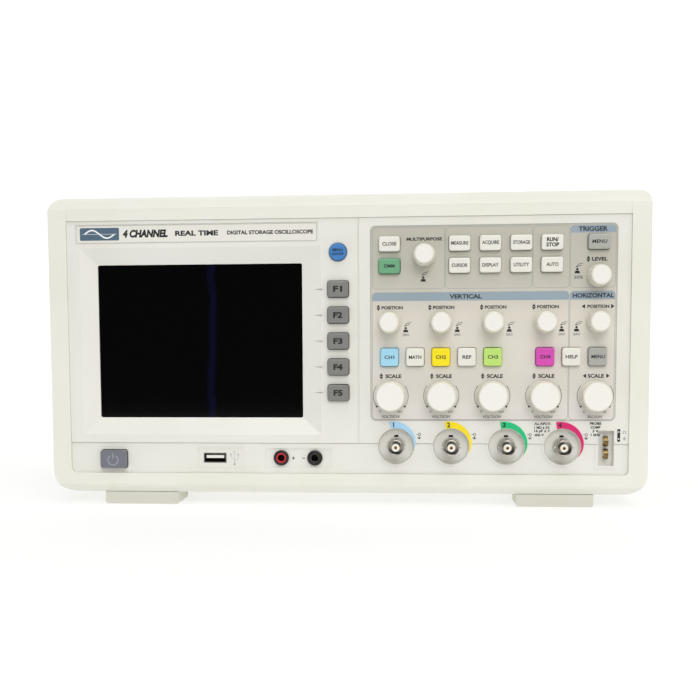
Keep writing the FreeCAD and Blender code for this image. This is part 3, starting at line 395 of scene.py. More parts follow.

# --- The screen ------------------------------------------------------------------------
# A hard-coated acrylic window over an unlit liquid-crystal module: near black, with a
# faint blue painted reflection in one narrow streak.

# Where the painted reflection streak stands along X, how far it wanders and how far it fades.
REFLECTION_STREAK_AT, REFLECTION_STREAK_SWING, REFLECTION_STREAK_REACH = -83 * MM, 3 * MM, 4 * MM


def dark_window():
    """Near-black under a hard coat; one narrow soft streak along Z is a painted blue reflection."""
    paint = bpy.data.materials.new("hard_coated_acrylic")
    paint.use_nodes = True
    tree = paint.node_tree
    shader = tree.nodes["Principled BSDF"]
    shader.inputs["IOR"].default_value = 1.49
    shader.inputs["Specular IOR Level"].default_value = 0.15
    place = add(tree, "TexCoord")
    waver = add(tree, "TexNoise", {"Vector": place.outputs["Object"]}, Scale=1 / (30 * MM),
                Detail=2)
    axes = add(tree, "SeparateXYZ", {"Vector": place.outputs["Object"]})
    off = add(tree, "Math", {"Value": axes.outputs["X"]}, operation="ADD")
    off.inputs[1].default_value = -REFLECTION_STREAK_AT
    swung = add(tree, "MapRange", {"Value": waver.outputs["Fac"]}, To_Min=-REFLECTION_STREAK_SWING,
                To_Max=REFLECTION_STREAK_SWING)
    near = add(tree, "Math", operation="SUBTRACT")
    tree.links.new(off.outputs["Value"], near.inputs[0])
    tree.links.new(swung.outputs["Result"], near.inputs[1])
    reach = add(tree, "Math", {"Value": near.outputs["Value"]}, operation="ABSOLUTE")
    # A painted reflection: a soft blue streak mixed into the window's base colour.
    painted_reflection = add(tree, "MapRange", {"Value": reach.outputs["Value"]}, From_Min=0,
                 interpolation_type="SMOOTHSTEP", From_Max=REFLECTION_STREAK_REACH, To_Min=1, To_Max=0)
    tint = add(tree, "ValToRGB", {"Fac": painted_reflection.outputs["Result"]})
    tint.color_ramp.elements[0].color = linear("#030304")
    tint.color_ramp.elements[1].color = linear("#0A0A22")
    tree.links.new(tint.outputs["Color"], shader.inputs["Base Color"])
    haze = add(tree, "TexNoise", {"Vector": place.outputs["Object"]}, Scale=1 / (8 * MM), Detail=3)
    gloss = add(tree, "MapRange", {"Value": haze.outputs["Fac"]}, To_Min=0.05, To_Max=0.11)
    tree.links.new(gloss.outputs["Result"], shader.inputs["Roughness"])
    return paint


dress("display_window", dark_window())

# --- The control overlay -----------------------------------------------------------------
# A warm grey polycarbonate film, die-cut round every key and knob and printed on its
# back: header bands, box outlines, arcs round the large knobs and small legends.

KEYS = sorted(node for node in NODES if node.startswith("key_"))
KNOBS = sorted(node for node in NODES if node.startswith("knob_"))
FILM = (16.6, 165.3, 53.9, 172.9)  # left, right, low, high
FILM_THICK = 0.18
KEY_INSET = 0.75  # a key's flange, 1.1, less the play of 0.35 round its cap
KNOB_HOLE = 5.0


def die_cut_film(name, outer, holes, finish, thick):
    """A flat film: closed outlines filled where they overlap an odd number of times, thickened."""
    curve = bpy.data.curves.new(name, "CURVE")
    curve.dimensions = "2D"
    curve.fill_mode = "BOTH"
    curve.extrude = thick / 2
    for path in [outer] + holes:
        spline = curve.splines.new("POLY")
        spline.points.add(len(path) - 1)
        flat = np.zeros((len(path), 4))
        flat[:, :2] = path
        spline.points.foreach_set("co", flat.ravel())
        spline.use_cyclic_u = True
    holder = bpy.data.objects.new(name, curve)
    bpy.context.scene.collection.objects.link(holder)
    bpy.context.view_layer.update()
    mesh = bpy.data.meshes.new_from_object(holder)
    bpy.data.objects.remove(holder)
    corners = np.zeros(len(mesh.vertices) * 3)
    mesh.vertices.foreach_get("co", corners)
    corners = corners.reshape(-1, 3)
    solid = np.stack([corners[:, 0], PANEL - thick / 2 - corners[:, 2], corners[:, 1]], 1) * MM
    mesh.vertices.foreach_set("co", solid.ravel())
    mesh.update()
    mesh.materials.clear()
    mesh.materials.append(finish)
    piece = bpy.data.objects.new(name, mesh)
    bpy.context.scene.collection.objects.link(piece)
    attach(piece, "instrument")
    return piece


holes = []
for node in KEYS:
    low, high = (np.array(corner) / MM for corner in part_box(node))
    if low[0] > FILM[0]:
        holes.append(rounded_path(low[0] + KEY_INSET, high[0] - KEY_INSET,
                                  low[2] + KEY_INSET, high[2] - KEY_INSET, 1.7))
for node in KNOBS:
    across, up = middle(node)
    holes.append(disc(across, up, KNOB_HOLE, 36)[0][:-1])
film = moulded("matt_polycarbonate_film", "#D9D6CB", 0.5, grain=0.012, cloud=0.02)
tree = film.node_tree
# The film's colour is lighter low down and darker toward its top, changing most a little above its
# middle.
axes = add(tree, "SeparateXYZ", {"Vector": add(tree, "TexCoord").outputs["Object"]})
film_height_share = add(tree, "MapRange", {"Value": axes.outputs["Z"]}, From_Min=FILM[2] * MM,
            From_Max=FILM[3] * MM)
tone = add(tree, "ValToRGB", {"Fac": film_height_share.outputs["Result"]})
tone.color_ramp.elements[0].color = linear("#DFDBD5")
tone.color_ramp.elements[1].color = linear("#BCB9AD")
tone.color_ramp.elements.new(0.55).color = linear("#DBD6CB")
tone.color_ramp.elements.new(0.7).color = linear("#C4C1B5")
tree.links.new(tone.outputs["Color"], tree.nodes["Principled BSDF"].inputs["Base Color"])
die_cut_film("control_overlay", rounded_path(*FILM, 3.2), holes, film, FILM_THICK)
PRINT = PANEL - FILM_THICK - HAIR

split = 137.0  # between the vertical and the horizontal controls
upper_low, upper_high = 134.6, 171.7
lower_low, lower_high = 54.6, 132.4
header_low, header_high = 127.3, 132.3
outlines = [line(rounded_path(17.1, 164.8, 54.4, 172.4, 3.0), 0.22, closed=True),
            line(rounded_path(16.7, 165.2, 54.0, 172.8, 3.1), 0.22, closed=True)]
for left, right in ((18.2, 61.9), (62.3, 114.6), (115.0, split - 0.3), (split + 0.3, 164.1)):
    outlines.append(line(rounded_path(left, right, upper_low, upper_high, 2.4), 0.25, closed=True))
for left, right in ((17.8, split - 0.3), (split + 0.3, 164.1)):
    outlines.append(line(rounded_path(left, right, lower_low, lower_high, 2.4), 0.25, closed=True))
printed("overlay_outlines", outlines, grey_ink, "instrument", PRINT)


HEADER_CORNER = 2.2


def header(left, right, low, high):
    """A band with its two upper corners rounded."""
    top = rounded_path(left, right, low - 4, high, HEADER_CORNER)
    top[:, 1] = np.maximum(top[:, 1], low)
    return patch(top)


printed("overlay_headers", [header(17.9, split - 0.35, header_low, header_high),
                            header(split + 0.35, 164, header_low, header_high),
                            header(split + 0.35, 164, 167.3, 171.6)],
        slate_ink, "instrument", PRINT - HAIR)
printed("overlay_header_words", [lettering("VERTICAL", 74.7, 129.8, 2.5, 19.6),
                                 lettering("HORIZONTAL", 151.1, 129.8, 2.5, 24.5),
                                 lettering("TRIGGER", 150.5, 169.5, 2.6, 17.4)],
        ink("screen_ink_blue_black", "#2B3540"), "instrument", PRINT - 2 * HAIR)


def arrows(across, up):
    """Two triangles, back to back, pointing up and down."""
    return [patch(np.array([(0, 1.9 * way), (-1.15, 0.15 * way), (1.15, 0.15 * way)])
                  + [across, up]) for way in (-1, 1)]


def side_arrows(across, up, reach):
    """A triangle at each side of a word, pointing away from it."""
    return [patch(np.array([(side * (reach + 2), 0), (side * reach, 1.4), (side * reach, -1.4)])
                  + [across, up]) for side in (-1, 1)]


def push_sign(across, up):
    """A finger that presses a knob, seen from the side."""
    knob = [(-1.65, -0.8), (1.65, -0.8), (1.15, 0.8), (-1.15, 0.8)]
    return [patch(np.array(knob) + [across, up]), disc(across, up + 1.7, 0.75, 16),
            line(np.array([(-0.8, 3.0), (0.6, 4.6), (3.2, 5.2)]) + [across, up], 0.32),
            line(np.array([(-0.8, 3.0), (1.0, 3.5), (2.6, 4.1)]) + [across, up], 0.32)]


POSITION_WORD, SCALE_WORD = 9.2, 12.2  # from a knob's middle up to its word
DIAL_ARC = 10.8
legends, faint = [], []
for node in KNOBS:
    across, up = middle(node)
    sideways = node.endswith("horizontal")
    if "position" in node:
        row = up + POSITION_WORD
        legends.append(lettering("POSITION", across + (0.2 if sideways else 1.6), row, 1.8, 13))
        legends += side_arrows(across, row, 7.7) if sideways else arrows(across - 6.8, row)
        shift = -12.6 if sideways else 9.9
        legends += push_sign(across + shift, up - 5)
        faint.append(lettering("ZERO", across + shift, up - 7.4, 1.4, 4.1, weight=0.02))
    elif "scale" in node:
        row = up + SCALE_WORD
        legends.append(lettering("SCALE", across + (0.2 if sideways else 1.6), row, 2.1, 9.7))
        legends += side_arrows(across + 0.4, row, 6) if sideways else arrows(across - 5.8, row)
        for side, start in ((-1, 144), (1, 36)):
            legends.append(ring(across, up, DIAL_ARC, 0.28, start, start - side * 73))
            angle = math.radians(start - side * 73)
            legends.append(disc(across + DIAL_ARC * math.cos(angle),
                                up + DIAL_ARC * math.sin(angle), 0.62, 14))
        coarse, fine, unit = ("S", "nS", "SEC/DIV") if sideways else ("V", "mV", "VOLTS/DIV")
        faint += [lettering(coarse, across - 6.6, up - 9.6, 1.5, weight=0.03),
                  lettering(fine, across + 5.8, up - 9.6, 1.5, weight=0.03),
                  lettering(unit, across, up - 12.7, 1.6, 9 if sideways else 11.4, weight=0.03)]
across, up = middle("knob_level")
legends += [lettering("LEVEL", across + 0.6, up + 10, 2, 9.2)] + arrows(across - 6.1, up + 10)
legends += push_sign(across - 12.6, up + 2.3)
faint.append(lettering("50%", across - 11.8, up - 0.8, 1.8, 5.4, weight=0.03))
across, up = middle("knob_multipurpose")
legends.append(lettering("MULTIPURPOSE", across, up + 9.6, 1.8, 21.5))
legends += push_sign(across - 0.6, up - 15.3)
printed("overlay_legends", legends, black_ink, "instrument", PRINT)
printed("overlay_units", faint, soft_ink, "instrument", PRINT)

# --- The keys -----------------------------------------------------------------------
# Hard two-part keys: a semi-gloss cap moulded in its own colour, with a legend printed
# on the face.  Each legend moves with its key.


def key_group(words, colour):
    """One key colour, worn by every key whose name is listed."""
    cap = moulded("key_cap_" + words.split()[0], colour, 0.36, grain=0.015, cloud=0.02, coat=0.15)
    for word in words.split():
        dress("key_" + word, cap)


key_group("close measure acquire storage cursor display utility run_stop auto math ref help",
          "#EAE8E0")
key_group("f1 f2 f3 f4 f5", "#7F807C")
key_group("trigger_menu horizontal_menu", "#AEAFA9")
key_group("power", "#70727C")
key_group("menu_onoff", "#3E7FC2")
key_group("dmm", "#6DA981")
key_group("ch1", "#A6DDF6")
key_group("ch2", "#FFEA00")
key_group("ch3", "#C2E878")
key_group("ch4", "#D94BB8")

WORDS = {"close": ("CLOSE", 8.6), "dmm": ("DMM", 6.4), "measure": ("MEASURE", 10.4),
         "acquire": ("ACQUIRE", 10.2), "storage": ("STORAGE", 10.2), "cursor": ("CURSOR", 9.6),
         "display": ("DISPLAY", 9.8), "utility": ("UTILITY", 9.2), "auto": ("AUTO", 7.2),
         "math": ("MATH", 7.6), "ref": ("REF", 5.4), "help": ("HELP", 7.2), "ch1": ("CH1", 6.0),
         "ch2": ("CH2", 6.2), "ch3": ("CH3", 6.2), "ch4": ("CH4", 6.2),
         "trigger_menu": ("MENU", 8.7), "horizontal_menu": ("MENU", 8.0)}
WORDS.update({f"f{number}": (f"F{number}", 5.7) for number in range(1, 6)})


def face_level(node):
    """The level of a print on the front of a node."""
    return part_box(node)[0].y / MM - HAIR


for word, (label, wide) in WORDS.items():
    node = "key_" + word
    across, up = middle(node)
    tall = 3.3 if word[0] == "f" else 2.0
    printed("legend_" + word, [lettering(label, across, up, tall, wide, weight=0.02 * tall)],
            black_ink, node, face_level(node))
across, up = middle("key_run_stop")
printed("legend_run_stop", [lettering("RUN/", across, up + 1.5, 2.2, 7, weight=0.06),
                            lettering("STOP", across, up - 1.6, 2.2, 7.6, weight=0.06)],
        black_ink, "key_run_stop", face_level("key_run_stop"))
across, up = middle("key_menu_onoff")
printed("legend_menu_onoff", [lettering("MENU", across, up + 1.1, 1.6, 6.4, weight=0.05),
                              lettering("ON/OFF", across, up - 1.3, 1.5, 7.4, weight=0.05)],
        ink("screen_ink_navy", "#101936"), "key_menu_onoff", face_level("key_menu_onoff"))
across, up = middle("key_power")
printed("legend_power", [ring(across, up - 0.4, 3.2, 0.6, 124, 416),
                         line([(across, up + 0.4), (across, up + 4)], 0.6)],
        ink("screen_ink_pale_blue", "#9A9EB0"), "key_power", face_level("key_power"))

# --- The knobs -----------------------------------------------------------------------
# Ivory fluted knobs, each with a whiter inlay glued into its face.

knob_abs = moulded("knob_abs_ivory", "#E6E2D6", 0.38, grain=0.02, cloud=0.03)
SMALL_INLAY, LARGE_INLAY = 5.2, 8.1
inlay = moulded("knob_inlay_white", "#F3F0EA", 0.3, grain=0.01, cloud=0.01, coat=0.2)
for node in KNOBS:
    dress(node, knob_abs)
    across, up = middle(node)
    radius = LARGE_INLAY if "scale" in node else SMALL_INLAY
    printed("inlay_" + node[5:], [disc(across, up, radius, 48)], inlay, node, face_level(node))

# --- The signal inputs ------------------------------------------------------------------
# Nickel-plated bayonet barrels with two lugs, PTFE insulators and gold contacts, in
# dished rims.  A coloured crescent beside each rim gives the channel its colour.


def lathe(profile, across, up, steps=48):
    """A profile of (radius, level) points turned about the line along Y through (across, up)."""
    radius, level = np.array(profile, float).T
    turn = np.linspace(0, 2 * math.pi, steps, endpoint=False)
    corners = np.stack([across + np.outer(np.cos(turn), radius),
                        np.broadcast_to(level, (steps, len(level))),
                        up + np.outer(np.sin(turn), radius)], 2)
    start = np.arange(steps)[:, None] * len(level) + np.arange(len(level) - 1)[None, :]
    after = (start + len(level)) % (steps * len(level))
    faces = np.stack([start, start + 1, after + 1, after], 2).reshape(-1, 4)
    return corners.reshape(-1, 3), faces


def tray(left, right, front, back, low, high):
    """A plain block as corners and faces."""
    corners = [(x, y, z) for x in (left, right) for y in (front, back) for z in (low, high)]
    faces = [(0, 1, 3, 2), (4, 6, 7, 5), (0, 4, 5, 1), (2, 3, 7, 6), (0, 2, 6, 4), (1, 5, 7, 3)]
    return np.array(corners, float), np.array(faces)


SHARP_PAST = math.radians(35)


def assembled(name, solids, finish, body):
    """Closed solids as one piece: double corners welded, faces turned out, steep edges sharp."""
    corners, faces, count = [], [], 0
    for points, quads in solids:
        corners.append(points)
        faces.append(np.asarray(quads) + count)
        count += len(points)
    piece = mesh_piece(name, np.concatenate(corners) * MM, np.concatenate(faces), finish, body,
                       smooth=True)
    tool = bmesh.new()
    tool.from_mesh(piece.data)
    bmesh.ops.remove_doubles(tool, verts=tool.verts, dist=0.002 * MM)
    bmesh.ops.recalc_face_normals(tool, faces=tool.faces)
    tool.to_mesh(piece.data)
    tool.free()
    piece.data.set_sharp_from_angle(angle=SHARP_PAST)
    return piece


def metal(name, colour, roughness):
    """Plated metal: turning marks vary the gloss, and a trace of tarnish varies the colour."""
    paint = bpy.data.materials.new(name)
    paint.use_nodes = True
    tree = paint.node_tree
    shader = tree.nodes["Principled BSDF"]
    shader.inputs["Metallic"].default_value = 1.0
    place = add(tree, "TexCoord")
    marks = add(tree, "TexNoise", {"Vector": place.outputs["Object"]}, Scale=1 / (0.3 * MM),
                Detail=4)
    gloss = add(tree, "MapRange", {"Value": marks.outputs["Fac"]}, To_Min=roughness * 0.7,
                To_Max=roughness * 1.5)
    tree.links.new(gloss.outputs["Result"], shader.inputs["Roughness"])
    haze = add(tree, "TexNoise", {"Vector": place.outputs["Object"]}, Scale=1 / (4 * MM), Detail=3)
    tint = add(tree, "ValToRGB", {"Fac": haze.outputs["Fac"]})
    tone = linear(colour)
    tint.color_ramp.elements[0].position = 0.3
    tint.color_ramp.elements[0].color = [part * 0.72 for part in tone[:3]] + [1]
    tint.color_ramp.elements[1].position = 0.65
    tint.color_ramp.elements[1].color = tone
    tree.links.new(tint.outputs["Color"], shader.inputs["Base Color"])
    bump = add(tree, "Bump", {"Height": marks.outputs["Fac"]}, Strength=0.1, Distance=0.02 * MM)
    tree.links.new(bump.outputs["Normal"], shader.inputs["Normal"])
    return paint


nickel = metal("nickel_plate", "#B9B4AA", 0.2)
gold = metal("gold_plate", "#D9B25A", 0.22)
ptfe = moulded("white_ptfe", "#F4F3EC", 0.4, grain=0.01, cloud=0.01)
INPUT_COLUMNS = [32.4 + 33.8 * number for number in range(4)]
INPUT_ROW = 38
DISH_FLOOR = PANEL + 4
BARREL_END = DISH_FLOOR - 14.5
LUG_SIDES = 16


def bayonet(across, up, end, rear, way=-1):
    """A barrel with a rounded lip, an open bore and two lugs; way is the sense in Y it faces."""
    step = -way
    profile = [(0, rear), (4.8, rear), (4.8, end + 5.2 * step), (4.62, end + 5.0 * step),
               (4.62, end + 3.2 * step), (4.8, end + 3.0 * step), (4.8, end + 0.35 * step),
               (4.7, end + 0.1 * step), (4.5, end), (4.35, end), (4.15, end + 0.12 * step),
               (4.1, end + 0.4 * step), (4.1, end + 9 * step), (0, end + 9 * step)]
    solids = [lathe(profile, across, up, 64)]
    turn = np.linspace(0, 2 * math.pi, LUG_SIDES, endpoint=False)
    radius = [0.95, 0.95, 0.75, 0]
    reach = [4.5, 5.35, 5.6, 5.6]
    start = np.arange(LUG_SIDES)[:, None] * 4 + np.arange(3)[None, :]
    after = (start + 4) % (4 * LUG_SIDES)
    faces = np.stack([start, start + 1, after + 1, after], 2).reshape(-1, 4)
    for side in (-1, 1):
        corners = np.stack([across + side * np.tile(reach, (LUG_SIDES, 1)),
                            end + 4.2 * step + np.outer(np.cos(turn), radius),
                            up + np.outer(np.sin(turn), radius)], 2)
        solids.append((corners.reshape(-1, 3), faces))
    return solids


def insulator(across, up, end, depth, step=1):
    """A thick tube with eased edges at its open end."""
    return lathe([(1.05, end + depth * step), (2.4, end + depth * step), (2.4, end + 0.25 * step),
                  (2.2, end), (1.2, end), (1.05, end + 0.15 * step), (1.05, end + depth * step)],
                 across, up)


def contact(across, up, end, depth, step=1):
    """A pin with a hole bored into its open end."""
    return lathe([(0, end + depth * step), (1.05, end + depth * step), (1.05, end + 0.1 * step),
                  (1, end), (0.75, end), (0.7, end + 0.2 * step), (0.7, end + 4 * step),
                  (0, end + 4 * step)], across, up, 24)


barrels = assembled("input_barrels", [
    solid for across in INPUT_COLUMNS
    for solid in bayonet(across, INPUT_ROW, BARREL_END, PANEL + 12)], nickel, "instrument")
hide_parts("input_jacks")
assembled("input_insulators", [insulator(across, INPUT_ROW, BARREL_END + 0.5, 8.5)
                               for across in INPUT_COLUMNS], ptfe, "instrument")
assembled("input_contacts", [contact(across, INPUT_ROW, BARREL_END + 0.8, 8)
                             for across in INPUT_COLUMNS], gold, "instrument")
washer = [(4.85, DISH_FLOOR + 0.3), (5.3, DISH_FLOOR + 0.3), (5.3, DISH_FLOOR + 1.9),
          (4.85, DISH_FLOOR + 1.9), (4.85, DISH_FLOOR + 0.3)]
assembled("input_collars", [lathe(washer, across, INPUT_ROW) for across in INPUT_COLUMNS], ptfe,
          "instrument")


def strip(loops):
    """A bar through four equal runs of points, closed along its sides and at both ends."""
    steps = len(loops[0])
    near = np.arange(steps - 1)
    bands = [np.stack([near + steps * one, near + 1 + steps * one,
                       near + 1 + steps * after, near + steps * after], 1)
             for one, after in ((0, 1), (1, 2), (2, 3), (3, 0))]
    ends = np.arange(4) * steps
    return np.concatenate(loops), np.concatenate(bands + [[ends, ends + steps - 1]])


CHANNELS = (("ch1", "#A5D4F3", -8), ("ch2", "#FBE100", -22), ("ch3", "#0BC17C", -28),
            ("ch4", "#D8166C", -34))  # name, colour, and the angle at which the crescent ends
STATIONS = 60
CRESCENT_FACE = PANEL - 0.45
CRESCENT_BORE, CRESCENT_TIP, CRESCENT_WIDE = 11.25, 11.3, 4.4
digits, prints = [], []
for number, (channel, tone, finish_angle) in enumerate(CHANNELS):
    across = INPUT_COLUMNS[number]
    turn = np.radians(np.linspace(107, finish_angle, STATIONS))
    inner = np.full(STATIONS, CRESCENT_BORE)
    outer = CRESCENT_TIP + CRESCENT_WIDE * np.linspace(1, 0, STATIONS) ** 0.8
    loops = []
    for radius, level in ((outer, CRESCENT_FACE), (inner, CRESCENT_FACE),
                          (inner, CRESCENT_FACE + 0.07), (outer, PANEL)):
        beside = np.maximum(across + radius * np.cos(turn), across - 3.9)
        loops.append(np.stack([beside, np.full(STATIONS, level),
                               INPUT_ROW + radius * np.sin(turn)], 1))
    assembled("crescent_" + channel, [strip(loops)], ink("enamel_" + channel, tone, 0.42),
              "instrument")
    digits.append(lettering(str(number + 1), across - 1.5, INPUT_ROW + 13.3, 2.7, weight=0.06))
    sign = np.array([across + 14.1, INPUT_ROW + 6.5])
    prints += [ring(*(sign + [0.3, 0.9]), 0.75, 0.3),
               line(np.array([(-1.5, 0.9), (-0.4, 0.9)]) + sign, 0.3),
               line(np.array([(0.1, 0), (0.1, -1.0)]) + sign, 0.3),
               line(np.array([(-1.1, -1.1), (1.3, -1.1)]) + sign, 0.35),
               patch(np.array([(-0.9, -1.9), (1.1, -1.9), (0.1, -1.2)]) + sign)]
printed("input_numbers", digits, black_ink, "instrument", CRESCENT_FACE - HAIR)
NOTE = (("ALL INPUTS", 121.6, 9.7), ("1 MΩ ± 2%", 121.4, 9.2), ("16 pF ± 3", 121.4, 9.2),
        ("400 V", 119.8, 5.8))
for row, (words, across, wide) in enumerate(NOTE):
    prints.append(lettering(words, across, 52.1 - 2.3 * row, 1.45, wide))
for row, (words, wide) in enumerate((("PROBE", 6.8), ("COMP", 6), ("3 V", 3.6), ("1 kHz", 5.6))):
    prints.append(lettering(words, 153.6, 52.3 - 2.3 * row, 1.5, wide))
prints.append(patch([(166.7, 41.2), (168.4, 41.2), (168.4, 48.9), (166.7, 48.9)]))
square_wave = np.array([(-1.2, -0.6), (-0.6, -0.6), (-0.6, 0.7), (0.6, 0.7), (0.6, -0.6),
                        (1.2, -0.6)])
prints += [line(square_wave + [170.9, 46.8], 0.22), line([(170.9, 44.4), (170.9, 43.2)], 0.22),
           line([(169.9, 43.2), (171.9, 43.2)], 0.25), line([(170.3, 42.6), (171.5, 42.6)], 0.22),
           line([(170.7, 42.0), (171.1, 42.0)], 0.22)]
printed("input_prints", prints, black_ink, "instrument", PANEL - HAIR)
printed("terminal_dots", [disc(167.55, 47.2, 0.42), disc(167.55, 42.9, 0.42)], white_ink,
        "instrument", PANEL - 2 * HAIR)

# --- Memory socket, meter jacks and probe terminals ------------------------------------
# A steel shell round a white tongue; two 4 mm safety jacks, one with a red sleeve; two
# phosphor-bronze spring hoops to which a probe is hooked.

SOCKET_MIDDLE, SOCKET_ROW, SOCKET_WIDE, SOCKET_HIGH = -81.5, 30.2, 14.4, 6.2
MOUTH = PANEL + 1.2  # the floor of the sunk strip along the foot of the panel
black_nylon = moulded("black_nylon", "#0C0C0D", 0.32, grain=0.02, cloud=0.3)
red_nylon = moulded("red_nylon", "#C8102A", 0.28, grain=0.01, cloud=0.2, coat=0.3)
steel = metal("bright_steel", "#9A9A98", 0.26)
brass = metal("nickel_brass_sleeve", "#6E675C", 0.3)
bronze = metal("phosphor_bronze", "#8A7449", 0.28)


def hollow_box(across, up, wide, high, skin, front, back):
    """Four walls and an end wall round a rectangular hollow."""
    left, right, low, high = across - wide / 2, across + wide / 2, up - high / 2, up + high / 2
    return [tray(left, right, front, back, high - skin, high),
            tray(left, right, front, back, low, low + skin),
            tray(left, left + skin, front, back, low + skin, high - skin),
            tray(right - skin, right, front, back, low + skin, high - skin),
            tray(left + skin, right - skin, back - skin, back, low + skin, high - skin)]


shell = assembled("memory_socket_shell", hollow_box(
    SOCKET_MIDDLE, SOCKET_ROW, SOCKET_WIDE, SOCKET_HIGH, 0.4, MOUTH, PANEL + 14),
                  steel, "instrument")
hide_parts("front_sockets")
assembled("memory_socket_lining", hollow_box(
    SOCKET_MIDDLE, SOCKET_ROW, SOCKET_WIDE - 0.82, SOCKET_HIGH - 0.82, 0.35, MOUTH + 0.3,
    PANEL + 13), black_nylon, "instrument")
assembled("memory_socket_tongue", [
    tray(SOCKET_MIDDLE - 5.6, SOCKET_MIDDLE + 5.6, MOUTH + 0.8, PANEL + 12,
         SOCKET_ROW - 0.2, SOCKET_ROW + 1.6)], ptfe, "instrument")
assembled("memory_socket_contacts", [
    tray(SOCKET_MIDDLE + step - 0.5, SOCKET_MIDDLE + step + 0.5, MOUTH + 1.6, PANEL + 12,
         SOCKET_ROW - 0.35, SOCKET_ROW - 0.2) for step in (-3.5, -1, 1, 3.5)], gold, "instrument")
JACKS, JACK_ROW = (-39.4, -18.3), 30.4
JACK_FACE = PANEL - 0.6
collar = [(2.9, PANEL + 17.4), (4.8, PANEL + 17.4), (4.8, JACK_FACE + 0.5),
          (4.65, JACK_FACE + 0.15), (4.35, JACK_FACE), (3.5, JACK_FACE), (3.35, JACK_FACE + 0.12),
          (3.3, JACK_FACE + 0.9), (2.9, JACK_FACE + 0.9), (2.9, PANEL + 17.4)]
assembled("jack_collars", [lathe(collar, across, JACK_ROW) for across in JACKS], black_nylon,
          "instrument")
lining = [(2.15, JACK_FACE + 17), (2.9, JACK_FACE + 17), (2.9, JACK_FACE + 0.95),
          (3.28, JACK_FACE + 0.85), (3.2, JACK_FACE + 0.25), (3.0, JACK_FACE + 0.1),
          (2.4, JACK_FACE + 0.1), (2.2, JACK_FACE + 0.3), (2.15, JACK_FACE + 0.8),
          (2.15, JACK_FACE + 17)]
assembled("jack_lining_red", [lathe(lining, JACKS[0], JACK_ROW)], red_nylon, "instrument")
# The black jack's lining is a real part, made a lighter charcoal than its collar as a painted
# highlight ring.
painted_highlight_nylon = moulded("painted_highlight_nylon", "#1B1A1B", 0.25, grain=0.01, cloud=0.2, coat=0.4)
assembled("jack_lining_black", [lathe(lining, JACKS[1], JACK_ROW)], painted_highlight_nylon, "instrument")
sleeve = [(0, JACK_FACE + 19), (2.15, JACK_FACE + 19), (2.15, JACK_FACE + 1.8),
          (2.02, JACK_FACE + 1.6), (2.02, JACK_FACE + 18), (0, JACK_FACE + 18)]
assembled("jack_sleeves", [lathe(sleeve, across, JACK_ROW) for across in JACKS], brass,
          "instrument")
printed("jack_signs", [line([(-32.8, 30.2), (-30.8, 30.2)], 0.45),
                       line([(-31.8, 29.2), (-31.8, 31.2)], 0.45),
                       line([(-26.5, 30.2), (-24.5, 30.2)], 0.45)],
        black_ink, "instrument", MOUTH - HAIR)
trident = [line([(0, -4.3), (0, 3.8)], 0.4), disc(0, -4.0, 0.75),
           patch([(-0.9, 3.4), (0.9, 3.4), (0, 4.9)]),
           line([(0, -2.2), (2.3, -0.2), (2.3, 1.8)], 0.4),
           line([(0, -1.0), (-2.2, 0.8), (-2.2, 1.9)], 0.4),
           patch([(1.6, 1.5), (3.0, 1.5), (3.0, 2.9), (1.6, 2.9)]), disc(-2.2, 2.3, 0.75)]
printed("memory_socket_sign", [(points + [-69.1, 30.1], faces) for points, faces in trident],
        ink("screen_ink_pale_grey", "#C9C8C2"), "instrument", MOUTH - HAIR)
HOOP_MIDDLE, HOOP_HALF = 159.95, 1.3
HOOP_OUTER, HOOP_INNER = 3.2, 2.5


def hoop(up):
    """A bent strip: an arc of a flat band whose axis runs along X, open behind the panel."""
    turn = np.radians(np.linspace(42, 318, 44))
    return strip([np.stack([np.full(len(turn), HOOP_MIDDLE + side),
                            PANEL + 1.6 + radius * np.cos(turn), up + radius * np.sin(turn)], 1)
                  for side, radius in ((-HOOP_HALF, HOOP_OUTER), (HOOP_HALF, HOOP_OUTER),
                                       (HOOP_HALF, HOOP_INNER), (-HOOP_HALF, HOOP_INNER))])


assembled("probe_terminals", [hoop(up) for up in (33.6, 41.4)], bronze, "instrument")

# --- The rear sockets ------------------------------------------------------------------
# A black mains inlet with three nickel blades, two steel-shelled data sockets and the
# bayonet of the trigger output, all facing the rear from the bay in the case.

BAY_FLOOR = 51.3
INLET, NETWORK, DEVICE, TRIGGER = (-136, 44), (-84, 40), (-52, 40), (-20, 40)


def faced_back(solids):
    """Solids drawn facing the front, turned to face the rear."""
    return [(points * [1, -1, 1], faces) for points, faces in solids]


inlet = assembled("mains_inlet", faced_back(
    hollow_box(*INLET, 27.6, 19.8, 1.75, -BAY_FLOOR - 1.5, -BAY_FLOOR + 24)),
                  black_nylon, "instrument")
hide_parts("rear_sockets")
assembled("mains_blades", [
    tray(across - 1, across + 1, BAY_FLOOR - 16, BAY_FLOOR - 4.5, up - 2, up + 2)
    for across, up in ((-143, 42), (-136, 46), (-129, 42))], nickel, "instrument")
assembled("data_socket_shells", faced_back(
    hollow_box(*NETWORK, 15.8, 13.2, 0.4, -BAY_FLOOR, -BAY_FLOOR + 16)
    + hollow_box(*DEVICE, 11.8, 10.6, 0.4, -BAY_FLOOR, -BAY_FLOOR + 16)), steel, "instrument")
assembled("data_socket_linings", faced_back(
    hollow_box(*NETWORK, 14.98, 12.38, 1.6, -BAY_FLOOR + 0.2, -BAY_FLOOR + 15.6)
    + hollow_box(*DEVICE, 10.98, 9.78, 1.1, -BAY_FLOOR + 0.2, -BAY_FLOOR + 15.6)),
          black_nylon, "instrument")
assembled("device_socket_tongue", [
    tray(-54.8, -49.2, BAY_FLOOR - 12, BAY_FLOOR - 1.5, 38.4, 41.6)], ptfe, "instrument")
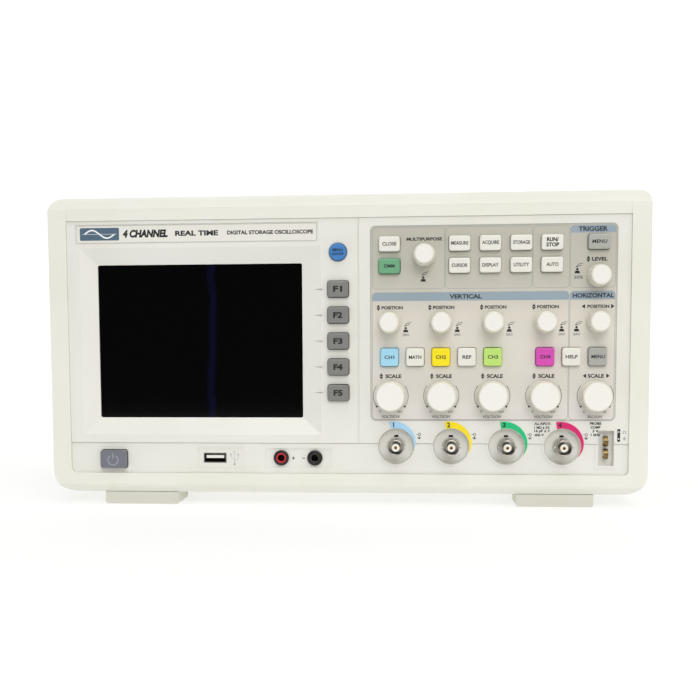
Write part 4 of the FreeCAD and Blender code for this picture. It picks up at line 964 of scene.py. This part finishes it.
assembled("network_contacts", [
    tray(NETWORK[0] + 1.1 * step - 0.2, NETWORK[0] + 1.1 * step + 0.2, BAY_FLOOR - 12,
         BAY_FLOOR - 3, 43.2, 43.6) for step in np.arange(-3.5, 4)], gold, "instrument")
nut = [(4.85, BAY_FLOOR), (6.4, BAY_FLOOR), (6.4, BAY_FLOOR + 0.9), (6.3, BAY_FLOOR + 1),
       (4.85, BAY_FLOOR + 1), (4.85, BAY_FLOOR)]
assembled("trigger_barrel", bayonet(*TRIGGER, BAY_FLOOR + 11, BAY_FLOOR - 12, way=1)
          + [lathe(nut, *TRIGGER, 6)], nickel, "instrument")
assembled("trigger_insulator", [insulator(*TRIGGER, BAY_FLOOR + 8.5, 6.4, -1)], ptfe, "instrument")
assembled("trigger_contact", [contact(*TRIGGER, BAY_FLOOR + 8.2, 6.1, -1)], gold, "instrument")

# --- Fan, screws, display module and boards ------------------------------------------------
# Black glass-filled nylon for the rotor, natural acetal for the sliding carriers,
# zinc-plated screws, a steel-backed display module and green fibreglass boards under solder mask.


def laminate():
    """Solder mask over copper: cells of copper parted by darker gaps, and a fine weave in gloss."""
    paint = bpy.data.materials.new("green_fibreglass_board")
    paint.use_nodes = True
    tree = paint.node_tree
    shader = tree.nodes["Principled BSDF"]
    place = add(tree, "TexCoord")
    tracks = add(tree, "TexVoronoi", {"Vector": place.outputs["Object"]},
                 feature="DISTANCE_TO_EDGE", Scale=1 / (5 * MM))
    tint = add(tree, "ValToRGB", {"Fac": tracks.outputs["Distance"]})
    tint.color_ramp.elements[0].position = 0.06
    tint.color_ramp.elements[0].color = linear("#12502F")
    tint.color_ramp.elements[1].position = 0.10
    tint.color_ramp.elements[1].color = linear("#1D7343")
    tree.links.new(tint.outputs["Color"], shader.inputs["Base Color"])
    weave = add(tree, "TexNoise", {"Vector": place.outputs["Object"]}, Scale=1 / (0.4 * MM),
                Detail=2)
    gloss = add(tree, "MapRange", {"Value": weave.outputs["Fac"]}, To_Min=0.28, To_Max=0.42)
    tree.links.new(gloss.outputs["Result"], shader.inputs["Roughness"])
    bump = add(tree, "Bump", {"Height": tracks.outputs["Distance"]}, Strength=0.15,
               Distance=0.05 * MM)
    tree.links.new(bump.outputs["Normal"], shader.inputs["Normal"])
    return paint


dress("fan_rotor", moulded("glass_filled_nylon", "#161718", 0.5, grain=0.05, cloud=0.2))
dress("case_screws", metal("zinc_plate", "#A9ABAC", 0.32))
dress("lcd_module", steel)
dress("circuit_boards", laminate())
carrier = moulded("natural_acetal", "#E4E1D8", 0.35, grain=0.01, cloud=0.02)
for node in NODES:
    if node.startswith("carrier_"):
        dress(node, carrier)
